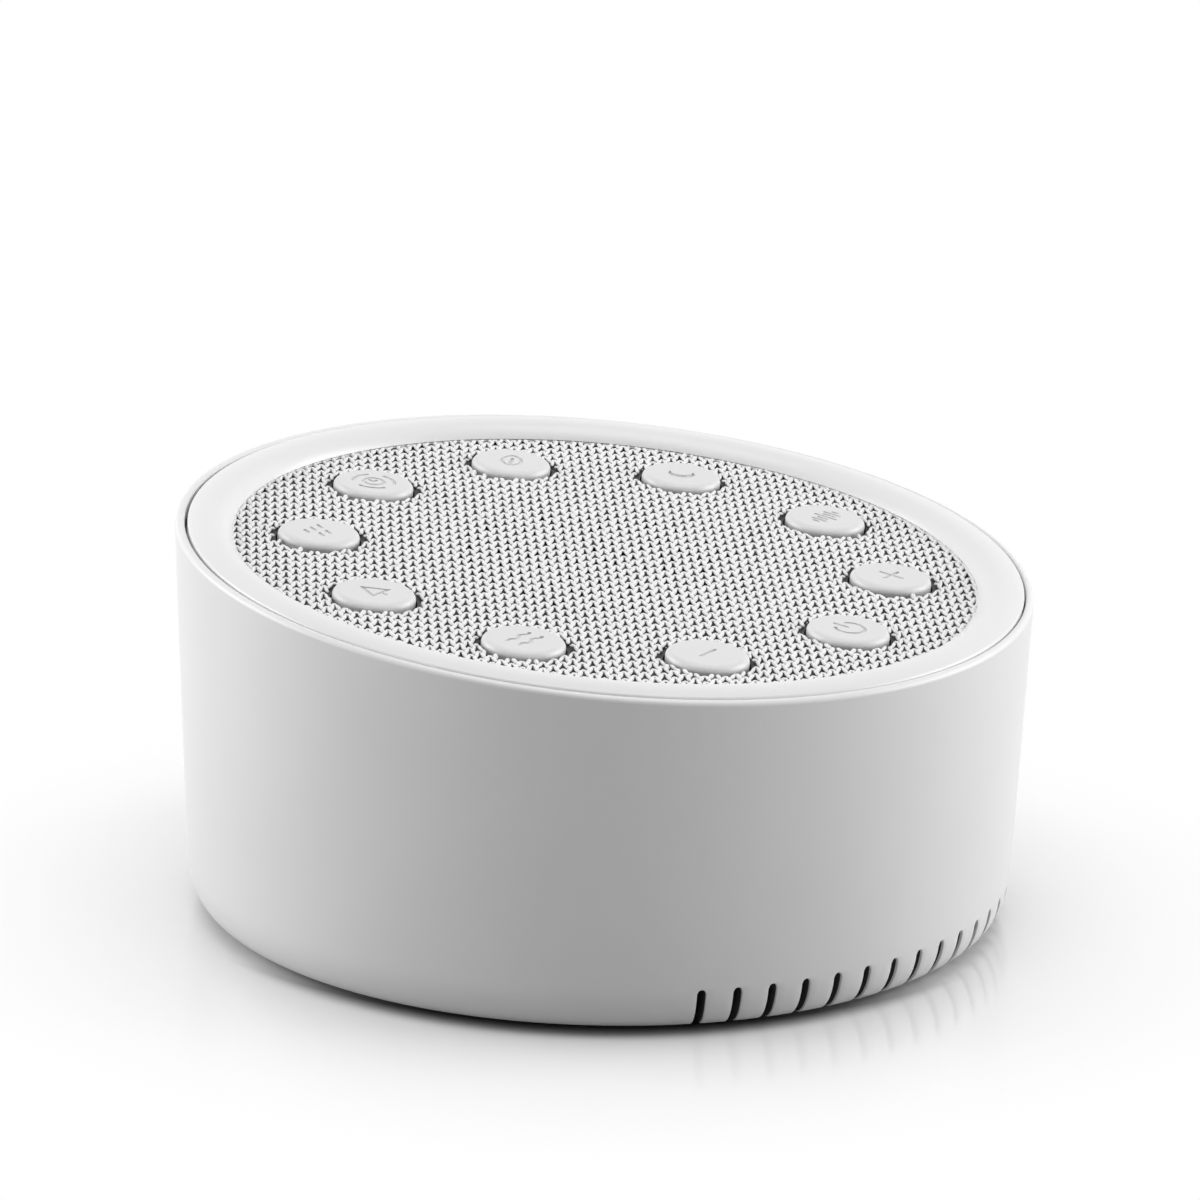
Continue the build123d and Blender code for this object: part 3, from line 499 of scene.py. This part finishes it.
def cut_slots(bm):
    """Opens the slot columns, gives them side walls and a far end, and paints them dark deep inside as shade."""
    half = slot_half * MM
    shoulder = slot_shoulder * MM
    inner = slot_end * MM
    arch_slot_columns(bm, half, shoulder, inner)

    def is_open(face):
        centre = face.calc_center_median()
        side, radius = slot_frame(centre)[1:]
        return abs(side) < half and centre.z < shoulder and radius > inner + hair
    bmesh.ops.delete(bm, geom=[f for f in bm.faces if is_open(f)], context="FACES")

    def in_mouth(edge):
        centre = (edge.verts[0].co + edge.verts[1].co) / 2
        beside = abs(slot_frame(centre)[1]) < side_margin * half
        beyond = max(hypot(v.co.x, v.co.y) for v in edge.verts) > corner_radius * MM + hair
        return edge.is_boundary and beside and centre.z < slot_top * MM and beyond
    mouth = [e for e in bm.edges if in_mouth(e)]

    ring = mouth
    for reach in (slot_lit * MM, body_radius * MM):     # the second goes all the way in
        made = bmesh.ops.extrude_edge_only(bm, edges=ring)["geom"]
        for v in only(BMVert, made):
            middle, side, radius = slot_frame(v.co)
            depth = max(inner, sqrt(radius ** 2 - side ** 2) - reach)
            v.co = slot_point(middle, side, depth, v.co.z)
        ring = only(BMEdge, made)
    # painted shade: the deeper strip of each slot's side walls is coloured dark
    for face in only(BMFace, made):
        face.material_index = 1
    merge_doubles(bm)

    def at_far_end(edge):
        low = all(v.co.z < slot_top * MM + hair for v in edge.verts)
        deep = all(abs(hypot(v.co.x, v.co.y) - inner) < 2 * hair for v in edge.verts)
        return edge.is_boundary and low and deep
    far_ends = [e for e in bm.edges if at_far_end(e)]
    filled = bmesh.ops.holes_fill(bm, edges=far_ends, sides=0)["faces"]
    # painted shade: each slot's far end is coloured dark
    for face in filled:
        face.material_index = 1
    round_edges(bm, mouth, slot_rounding, 2, clamp=False)
    return len(filled)


shell = spin_shell()
print("slots cut:", cut_slots(shell))

# %% [markdown]
# The deck cuts the wall on a slant, so the rim is an ellipse, but the recess for the bezel is a
# true circle square to the deck. The cut edge is extruded ring by ring: in to the circle, down to
# the ledge that the deck parts sit on, and then down inside the wall to the base cover's seat.
# The outer edge of the lip gets a large rounding and its inner edge a small one.

# %% Rim, ledge and inside of the shell
lip_outer_rounding = 0.8
lip_inner_rounding = 0.3
slot_roof = slot_top + 0.6      # height of the inner step above the slots


def open_loop(bm, test):
    return [e for e in bm.edges if e.is_boundary and test(e)]


def extrude_ring(bm, edges, place):
    """Extrudes a ring of edges, puts each new point where place says, and returns the new edges."""
    made = bmesh.ops.extrude_edge_only(bm, edges=edges)["geom"]
    for v in only(BMVert, made):
        v.co = place(v.co)
    return [e for e in only(BMEdge, made) if e.is_boundary]


def deck_ring(radius, level):
    """Places a point on a circle of the deck, in millimetres, beside where it was."""
    def place(co):
        local = to_deck @ co
        flat = Vector((local.x, local.y, 0)).normalized() * radius * MM
        return deck @ Vector((flat.x, flat.y, level * MM))
    return place


def inner_wall_ring(level=None, height=None):
    """Places a point on the inside of the wall, at a deck level or at a height."""
    def place(co):
        angle = atan2(co.y, co.x)
        if height is None:      # where the leaning wall meets the slanting level
            rise = sin(deck_slope) * sin(angle)
            lean = rise * wall_lean
            flat = rise * (body_radius - wall_thickness - wall_start * wall_lean)
            z = (level + cos(deck_slope) * rim_height / MM + flat) / (cos(deck_slope) - lean)
        else:
            z = height
        radius = wall_radius(max(z, wall_start)) - wall_thickness
        return Vector((radius * cos(angle), radius * sin(angle), z)) * MM
    return place


def flat_ring(radius, height):
    """Places a point on a level circle round the machine's axis."""
    def place(co):
        return Vector((co.x, co.y, 0)).normalized() * radius * MM + Vector((0, 0, height * MM))
    return place


def rim_and_inside(bm):
    everything = bm.verts[:] + bm.edges[:] + bm.faces[:]
    bmesh.ops.bisect_plane(bm, geom=everything, dist=1e-7, plane_co=(0, 0, rim_height),
                           plane_no=deck_normal, clear_outer=True)

    def on_rim(edge):
        return all(abs((to_deck @ v.co).z) < hair for v in edge.verts)

    def on_seat(edge):
        return all(hypot(v.co.x, v.co.y) < (cover_seat + 0.1) * MM and
                   abs(v.co.z - underside * MM) < hair for v in edge.verts)

    rim = open_loop(bm, on_rim)
    lip_ring = extrude_ring(bm, rim, deck_ring(bezel_seat, 0))
    ledge_radius = bezel_seat - ledge_width
    tray_radius = cover_seat - ledge_width
    ring = lip_ring
    for place in (deck_ring(bezel_seat, grille_bottom), deck_ring(ledge_radius, grille_bottom),
                  deck_ring(ledge_radius, ledge_bottom), inner_wall_ring(level=ledge_bottom),
                  inner_wall_ring(height=wall_row), inner_wall_ring(height=slot_roof),
                  flat_ring(tray_radius, slot_roof), flat_ring(tray_radius, cover_top),
                  flat_ring(cover_seat, cover_top)):
        ring = extrude_ring(bm, ring, place)
    bmesh.ops.bridge_loops(bm, edges=ring + open_loop(bm, on_seat))
    round_edges(bm, rim, lip_outer_rounding, 6)
    round_edges(bm, lip_ring, lip_inner_rounding, 3)
    close_up(bm)
    return sum(e.is_boundary for e in bm.edges)


print("open edges left:", rim_and_inside(shell))
# the second finish is painted shade for the deep inside of the slots
shell_piece = make_piece("shell", shell, ["shell_plastic", "painted_slot_shade"])
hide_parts("housing")

# %% [markdown]
# One opening stays: the charging socket looks out through the back of the wall. Its cutter is a
# tube of stadium outlines that follow the wall's curve and open out towards the outside, so the
# cut gets a rounded mouth. A Boolean modifier makes the cut and is applied at once.

# %% Opening for the socket
opening_width, opening_height, opening_middle = 12.4, 6.8, 12.03
opening_steps = 12
opening_mouth = [               # distance out from the wall, growth of the outline
    (1.0, 0.45), (0.02, 0.45), (-0.08, 0.24), (-0.2, 0.1), (-0.45, 0.0), (-4.0, 0.0)]


def stadium(grow):
    """Points (across, height) of the opening's outline, grown by a distance."""
    half = opening_height / 2 + grow
    straight = (opening_width - opening_height) / 2
    turns = [pi * i / opening_steps for i in range(opening_steps + 1)]
    right = [(straight + half * sin(t), opening_middle + half * cos(t)) for t in turns]
    return right + [(-x, 2 * opening_middle - z) for x, z in right]


def opening_cutter():
    bm = bmesh.new()
    loops = []
    for distance, grow in opening_mouth:
        ring = []
        for x, z in stadium(grow):
            radius = wall_radius(z) + distance
            ring.append(bm.verts.new(Vector((x, sqrt(radius ** 2 - x ** 2), z)) * MM))
        loops.append([bm.edges.new(pair) for pair in zip(ring, ring[1:] + ring[:1])])
    for first, second in zip(loops, loops[1:]):
        bmesh.ops.bridge_loops(bm, edges=first + second)
    bmesh.ops.holes_fill(bm, edges=[e for e in bm.edges if e.is_boundary], sides=0)
    bmesh.ops.recalc_face_normals(bm, faces=bm.faces)
    return bm


def cut_away(piece, cutter_bm):
    """Takes a solid out of a piece with a Boolean modifier and applies it."""
    cutter = add_object("cutter", to_mesh("cutter", cutter_bm))
    cut = piece.modifiers.new("opening", "BOOLEAN")
    cut.operation = "DIFFERENCE"
    cut.solver = "EXACT"
    cut.object = cutter
    with bpy.context.temp_override(object=piece, active_object=piece, selected_objects=[piece]):
        bpy.ops.object.modifier_apply(modifier=cut.name)
    bpy.data.objects.remove(cutter)
    mark_creases(piece.data)


faces_before = len(shell_piece.data.polygons)
cut_away(shell_piece, opening_cutter())
print("faces added by the opening:", len(shell_piece.data.polygons) - faces_before)

# %% [markdown]
# ## The bezel
# The bezel is a smooth domed ring that drops into the shell's recess with a thin dark gap round
# it. Its top is two arcs that meet level at the crest: one falls to the gap, the other to the
# cloth. It is the same all the way round, so its section is spun about the deck's normal and then
# carried onto the deck. Like any part that drops in with some play, it isn't quite central.

# %% Bezel
bezel_outer = 63.34
bezel_inner = 56.49
bezel_crest = (60.20, 0.85)     # radius and level of the top of the dome
bezel_edge_level = 0.15
bezel_edge_rounding = 0.3
bezel_steps = 240
inner_arc_steps, outer_arc_steps = 14, 10
bezel_shift = Vector((-0.20, -0.23, 0)) * MM    # the play puts it 0.3 mm nearer to the camera
cloth_level = -1.3
cloth_radius = 57.89
seat_play = 0.2                 # between the cloth's edge and the bezel's step round it
plate_top = -2.1


def dome_arc(end, steps):
    """Points of the arc that leaves the crest level and comes down to end."""
    across, down = end[0] - bezel_crest[0], bezel_crest[1] - end[1]
    curve = (across ** 2 + down ** 2) / (2 * down)
    sweep = 2 * atan2(down, abs(across))
    side = 1 if across > 0 else -1
    turns = [sweep * i / steps for i in range(1, steps + 1)]
    return [(bezel_crest[0] + side * curve * sin(t), bezel_crest[1] - curve * (1 - cos(t)))
            for t in turns]


section = [*reversed(dome_arc((bezel_inner, cloth_level), inner_arc_steps)), bezel_crest,
           *dome_arc((bezel_outer, bezel_edge_level), outer_arc_steps), (bezel_outer, plate_top),
           (cloth_radius + seat_play, plate_top), (cloth_radius + seat_play, cloth_level)]
bezel = ring_solid(section, bezel_steps)
outer_edge = section[inner_arc_steps + outer_arc_steps]
round_edges(bezel, edges_at(bezel, *outer_edge), bezel_edge_rounding, 4)
bmesh.ops.transform(bezel, matrix=deck @ Matrix.Translation(bezel_shift), verts=bezel.verts)
bezel_piece = make_piece("bezel", bezel, ["bezel_plastic"])
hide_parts("bezel_ring")

# %% [markdown]
# ## The knitted speaker cloth
# Seen closely, the cloth is a net of loops of white yarn. Each loop has two legs that lean
# together towards the back and a head that lies across them, and below the head a small dark
# triangle is left open. A picture of cloth would look flat from the side, so every leg, head and
# knot is a small closed solid. One of each is shaped from a sphere, and numpy then repeats it
# thousands of times, which is much quicker than calling an operator for each.

# %% Knit layout
row_step = np.array([2.177, -0.195])        # from one loop to its two nearest neighbours
column_step = np.array([0.213, 2.000])
wale = row_step + column_step               # the direction in which the loops hang in each other
wale_angle = atan2(wale[1], wale[0])
wale_along = np.array([cos(wale_angle), sin(wale_angle)])
wale_across = np.array([sin(wale_angle), -cos(wale_angle)])

button_count = 10
button_ring = 43.4
button_angles = [radians(-54 + 36 * i) for i in range(button_count)]
button_places = np.array([[button_ring * cos(a), button_ring * sin(a)] for a in button_angles])
cloth_hole = 6.28               # radius of the knit's edge round a button
cloth_cut = 6.3                 # stitches nearer to a button's middle than this are left out
cloth_relaxed = 9.2             # beyond this the cloth isn't pulled by a button
stitch_half = 0.8               # what a stitch is taken to reach from its middle
least_step = 2.0                # no two loops lie closer together than this


def nearest_button(points):
    """(distance to the nearest button's middle, that middle) for each point on the deck."""
    apart = points[:, None, :] - button_places[None, :, :]
    distance = np.hypot(apart[..., 0], apart[..., 1])
    which = distance.argmin(axis=1)
    return distance[np.arange(len(points)), which], button_places[which]


cells_out = int(cloth_radius / least_step) + 3      # enough to pass the cloth's edge
cells = range(-cells_out, cells_out + 1)
grid = np.array([(i, j) for i in cells for j in cells], float)
print("cells looked at:", len(grid))

# %% Yarn shapes
shoulder_place = 0.88           # the spindle's shoulders, as shares of its half length
shoulder_width = 0.86           # and of its half width
thickness_spread, turn_spread, place_spread = 0.06, 0.05, 0.03


def points_and_faces(bm):
    """A bmesh as an array of points and a list of faces."""
    bm.verts.index_update()
    points = np.array([v.co[:] for v in bm.verts])
    faces = [[v.index for v in f.verts] for f in bm.faces]
    bm.free()
    return points, faces


def yarn_shape(sides, rings):
    """A closed spindle along X, one unit each way."""
    bm = bmesh.new()
    bmesh.ops.create_uvsphere(bm, u_segments=sides, v_segments=rings, radius=1)
    turn = Matrix.Rotation(pi / 2, 3, "Y")
    bmesh.ops.rotate(bm, verts=bm.verts, cent=(0, 0, 0), matrix=turn)
    for v in bm.verts:
        thick = hypot(v.co.y, v.co.z)
        if 0.01 < thick < 0.99:             # neither a tip nor the middle ring
            v.co.x *= shoulder_place
            v.co.y *= shoulder_width / thick
            v.co.z *= shoulder_width / thick
    bmesh.ops.recalc_face_normals(bm, faces=bm.faces)
    return points_and_faces(bm)


def keep_on_cloth(centres):
    inside = np.hypot(centres[:, 0], centres[:, 1]) < cloth_radius - stitch_half
    return (nearest_button(centres)[0] > cloth_cut) & inside


def lay_yarn(points, centres, angle, half_length, half_width, half_height, level, tilt, rng):
    """Copies of a spindle at the centres, in deck millimetres, with small natural differences."""
    count = len(centres)
    vary = 1 + thickness_spread * rng.standard_normal((count, 1))
    turn = angle + turn_spread * rng.standard_normal(count)
    x = points[None, :, 0] * half_length
    y = points[None, :, 1] * half_width * vary
    z = points[None, :, 2] * half_height * vary + tilt * points[None, :, 0]
    middle = centres + place_spread * rng.standard_normal((count, 2))
    along, across = np.cos(turn)[:, None], np.sin(turn)[:, None]
    out = np.empty((count, len(points), 3))
    out[..., 0] = middle[:, None, 0] + x * along - y * across
    out[..., 1] = middle[:, None, 1] + x * across + y * along
    out[..., 2] = level + z
    around_yarn = np.arctan2(points[:, 1], points[:, 2])
    notes = np.tile(np.stack([points[:, 0], around_yarn], axis=-1), (count, 1))
    return out.reshape(-1, 3), notes


# %% [markdown]
# The laid stitches are then fitted to the parts round them. Round each button the cloth is drawn
# in to the hole, where its cut edge stands up a little, and under the bezel it is pressed flat: a
# thin strip of it lies all the way round between the bezel and the plate.

# %% Fitting the cloth
cut_edge_width, cut_edge_rise = 0.9, 0.16
tuck_width, tuck_depth = 0.5, 0.04
rest_level = plate_top + 0.03   # the lowest that the cloth lies over the plate
strip_steps = 150
strip_section = [(bezel_inner - 0.25, cloth_level - 0.20), (bezel_inner - 0.25, rest_level),
                 (cloth_radius, rest_level), (cloth_radius, cloth_level - 0.05)]


def shape_round_buttons(points):
    """Draws the cloth in to each button's hole, where its cut edge stands up a little."""
    flat = points[:, :2]
    distance, middle = nearest_button(flat)
    near = distance < cloth_relaxed
    shrink = (cloth_relaxed - cloth_hole) / (cloth_relaxed - (cloth_cut - stitch_half))
    drawn = np.maximum(cloth_relaxed - (cloth_relaxed - distance) * shrink, cloth_hole)
    factor = np.where(near, drawn / distance, 1.0)
    points[:, :2] = middle + (flat - middle) * factor[:, None]
    away = np.where(near, drawn, cloth_relaxed) - cloth_hole
    points[:, 2] += cut_edge_rise * np.clip(1 - away / cut_edge_width, 0, 1) ** 2


def tuck_under_bezel(points):
    """Keeps the cloth inside its cut edge, just under the bezel and above the plate."""
    radius = np.hypot(points[:, 0], points[:, 1])
    limit = np.minimum(radius, cloth_radius)
    points[:, :2] *= (limit / np.maximum(radius, 1e-6))[:, None]
    under = np.clip((radius - (bezel_inner - tuck_width)) / tuck_width, 0, 1)
    points[:, 2] -= tuck_depth * under
    points[:, 2] = np.maximum(points[:, 2], rest_level)


# %% Knit the cloth
leg_side, leg_run = 0.56, 2.25  # a leg's middle is this far to the side, and leans by their ratio
knit_seed = 7


def lay_stitches():
    """All spindles of the cloth as points, their notes and faces."""
    rng = np.random.default_rng(knit_seed)
    leg, head, knot = yarn_shape(6, 4), yarn_shape(4, 3), yarn_shape(4, 2)
    holes = grid[:, :1] * row_step + grid[:, 1:] * column_step
    side, lean = leg_side * wale_across, atan2(leg_side, leg_run)
    layers = [      # shape, centres, angle, half length, half width, half height, level, tilt
        (leg, holes - side, wale_angle - lean, 1.20, 0.38, 0.30, -1.61, 0.05),
        (leg, holes + side, wale_angle + lean, 1.20, 0.38, 0.30, -1.61, 0.05),
        (head, holes + 1.30 * wale_along, wale_angle + pi / 2, 0.62, 0.42, 0.30, -1.60, 0.0),
        (knot, holes - 0.80 * wale_along, wale_angle, 0.26, 0.20, 0.16, -1.74, 0.0),
    ]
    points, notes, faces = [], [], []
    start = 0
    for (shape_points, shape_faces), centres, *sizes in layers:
        centres = centres[keep_on_cloth(centres)]
        laid, said = lay_yarn(shape_points, centres, *sizes, rng)
        points.append(laid)
        notes.append(said)
        for first in range(start, start + len(laid), len(shape_points)):
            faces += [[first + k for k in face] for face in shape_faces]
        start += len(laid)
    return np.concatenate(points), np.concatenate(notes), faces


def knit_cloth():
    """The cloth's mesh. The attribute yarn holds (along the yarn, around it, height)."""
    points, notes, faces = lay_stitches()
    shape_round_buttons(points)
    tuck_under_bezel(points)
    strip, strip_faces = points_and_faces(ring_solid(strip_section, strip_steps))
    faces += [[len(points) + k for k in face] for face in strip_faces]
    points = np.vstack([points, strip / MM])
    notes = np.vstack([notes, np.zeros((len(strip), 2))])
    matrix = np.array(deck)
    world = points * MM @ matrix[:3, :3].T + matrix[:3, 3]
    mesh = bpy.data.meshes.new("speaker_cloth")
    mesh.from_pydata(world.tolist(), [], faces)
    height = (points[:, 2:] - plate_top) / (cloth_level - plate_top)
    yarn = mesh.attributes.new("yarn", "FLOAT_VECTOR", "POINT")
    yarn.data.foreach_set("vector", np.hstack([notes, height]).astype(np.float32).ravel())
    mesh.shade_smooth()
    return mesh


cloth_mesh = knit_cloth()
triangles = sum(len(p.vertices) - 2 for p in cloth_mesh.polygons)
print("the cloth has", triangles, "triangles")

# %% [markdown]
# The yarn's finish follows the yarn itself. Each point of the cloth carries where it lies along and
# round its stretch of yarn, and the finish turns that into the slanting lines of twisted strands.
# Each point also carries its height above the plate, and low down the yarn is darker, because
# little light gets between the loops.

# %% Yarn finish
strands_along = 9.0             # radians of twist along half a spindle
strands_around = 3.0            # strands in the yarn
strand_share = 0.22             # height of a strand next to the fibres' grain
fibre_size, fibre_drift, yarn_bump = 0.16, 6, 0.07
dark_below, bright_above = 0.34, 0.70       # shares of the cloth's height


def knit_finish():
    tree, shader = new_material("knit_cloth")
    yarn = add_node(tree, "ShaderNodeAttribute", attribute_name="yarn")
    parts = add_node(tree, "ShaderNodeSeparateXYZ")
    join(tree, yarn, "Vector", parts, "Vector")
    turns = maths(tree, "MULTIPLY", (parts, "Y"), strands_around)
    slant = maths(tree, "MULTIPLY_ADD", (parts, "X"), strands_along, (turns, "Value"))
    ridges = maths(tree, "SINE", (slant, "Value"))
    grain = add_node(tree, "ShaderNodeGroup", node_tree=grain_group,
                     in_Grain_Scale=1 / (fibre_size * MM), in_Drift_Scale=1 / (fibre_drift * MM))
    height = maths(tree, "MULTIPLY_ADD", (ridges, "Value"), strand_share, (grain, "Height"))
    relief = add_node(tree, "ShaderNodeBump", in_Strength=0.8, in_Distance=yarn_bump * MM)
    join(tree, height, "Value", relief, "Height")
    join(tree, relief, "Normal", shader, "Normal")
    lit = soft_step(tree, parts, "Z", dark_below, bright_above)
    colour = mix_tones(tree, lit, "Result", grey(0.12), grey(0.88))
    join(tree, colour, "Result", shader, "Base Color")
    shader.inputs["Roughness"].default_value = 0.85
    shader.inputs["Sheen Weight"].default_value = 0.3


knit_finish()
cloth_mesh.materials.append(finishes["knit_cloth"])
cloth_piece = add_object("speaker_cloth", cloth_mesh)
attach(cloth_piece, "body")
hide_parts("grille_cloth")

# %% [markdown]
# ## A finish for every part of the engineering model
# The record says which finish each part takes, so one loop can dress them all. The parts that a
# finer skin replaces are dressed too, although they stay hidden.

# %% Dress the parts
slot_of = {entry["node"]: entry["material_slot"] for entry in frame["record"]["subparts"]}
for name, part in nodes.items():
    part.data.materials.clear()
    part.data.materials.append(finishes[slot_of[name]])
print("finish of", len(slot_of), "parts read from the record")

# %% [markdown]
# ## The table and the light
# The machine stands on a glossy white table. The table keeps the soft shadow and a faint mirror
# image near the machine, and fades to plain white further out. In the narrow crack under the front
# of the shell hardly any light is left, and there the table itself is darkened. Two large soft
# lamps stand left and right of the camera's line, and a third hangs above, so that the wall is
# brightest at its sides and falls to grey in the middle.

# %% Table
table_size = 3.0                # metres each way from the middle
fade_start, fade_end = 56 * MM, 115 * MM            # distances from the machine's axis
crack_start, crack_end = 56.5 * MM, 64 * MM
front_start, front_end = 30 * MM, 56 * MM           # distances towards the camera
seen_tone, lighting_tone, crack_tone = grey(0.86), grey(0.40), grey(0.03)


def crack_mask(tree, place, length, light):
    """0 in the crack under the front of the shell, for what the camera sees, and 1 elsewhere."""
    out = soft_step(tree, length, "Value", crack_start, crack_end)
    ahead = add_node(tree, "ShaderNodeVectorMath", operation="DOT_PRODUCT")
    ahead.inputs[1].default_value = Vector((camera_back.x, camera_back.y, 0)).normalized()
    join(tree, place, "Object", ahead, 0)
    front = soft_step(tree, ahead, "Value", front_start, front_end)
    shaded = maths(tree, "MULTIPLY", (front, "Result"), (light, "Is Camera Ray"))
    open_sides = maths(tree, "SUBTRACT", 1.0, (shaded, "Value"))
    return maths(tree, "MAXIMUM", (out, "Result"), (open_sides, "Value"))


def table_finish():
    tree, shader = new_material("table_gloss")
    shader.inputs["Roughness"].default_value = 0.12
    place = add_node(tree, "ShaderNodeTexCoord")
    length = add_node(tree, "ShaderNodeVectorMath", operation="LENGTH")
    join(tree, place, "Object", length, 0)
    light = add_node(tree, "ShaderNodeLightPath")
    seen = maths(tree, "MAXIMUM", (light, "Is Camera Ray"), (light, "Is Glossy Ray"))
    colour = mix_tones(tree, seen, "Value", lighting_tone, seen_tone)
    open_table = crack_mask(tree, place, length, light)
    shaded_colour = mix_tones(tree, open_table, "Value", crack_tone, seen_tone)
    join(tree, colour, "Result", shaded_colour, "B")
    join(tree, shaded_colour, "Result", shader, "Base Color")
    fade = soft_step(tree, length, "Value", fade_start, fade_end)
    amount = maths(tree, "MULTIPLY", (fade, "Result"), (seen, "Value"))
    white = add_node(tree, "ShaderNodeEmission")
    both = add_node(tree, "ShaderNodeMixShader")
    join(tree, amount, "Value", both, "Fac")
    join(tree, shader, "BSDF", both, 1)
    join(tree, white, "Emission", both, 2)
    join(tree, both, "Shader", tree.nodes["Material Output"], "Surface")


table_finish()
table_bm = bmesh.new()
bmesh.ops.create_grid(table_bm, x_segments=1, y_segments=1, size=table_size)
table_mesh = to_mesh("table", table_bm)
table_mesh.materials.append(finishes["table_gloss"])
table = add_object("table", table_mesh)

# %% World
ambient = 0.28                  # what the surroundings give as light; seen directly they are white


def studio_world():
    world = bpy.data.worlds.new("studio")
    bpy.context.scene.world = world
    world.use_nodes = True
    tree = world.node_tree
    back = tree.nodes["Background"]
    light = add_node(tree, "ShaderNodeLightPath")
    seen = (light, "Is Camera Ray")
    for ray in ("Is Glossy Ray", "Is Transmission Ray"):
        seen = (maths(tree, "MAXIMUM", seen, (light, ray)), "Value")
    level = add_node(tree, "ShaderNodeMapRange", in_To_Min=ambient, in_To_Max=1.0)
    join(tree, *seen, level, "Value")
    join(tree, level, "Result", back, "Strength")
    back.inputs["Color"].default_value = (1, 1, 1, 1)


studio_world()

# %% Lamps
lamp_aim = Vector((0, 0, 0.03))             # distances are in metres here, and powers in watts
level_away = Vector((-camera_back.x, -camera_back.y, 0)).normalized()
side_reach, side_away, side_rise = 0.9, 0.15, 0.3
side_size, side_power = (0.7, 0.6), 6.6
top_away, top_rise = -0.08, 1.0
top_size, top_power = (0.8, 0.8), 5.0


def soft_lamp(name, offset, size, power):
    """A rectangular lamp that stands off from the machine and looks at it."""
    lamp = add_object(name, bpy.data.lights.new(name, "AREA"))
    lamp.data.shape = "RECTANGLE"
    lamp.data.size, lamp.data.size_y = size
    lamp.data.energy = power
    lamp.location = lamp_aim + offset
    lamp.rotation_mode = "QUATERNION"
    lamp.rotation_quaternion = (-offset).to_track_quat("-Z", "Y")


for name, side in (("left lamp", -side_reach), ("right lamp", side_reach)):
    soft_lamp(name, level_right * side + level_away * side_away + Vector((0, 0, side_rise)),
              side_size, side_power)
soft_lamp("top lamp", level_away * top_away + Vector((0, 0, top_rise)), top_size, top_power)
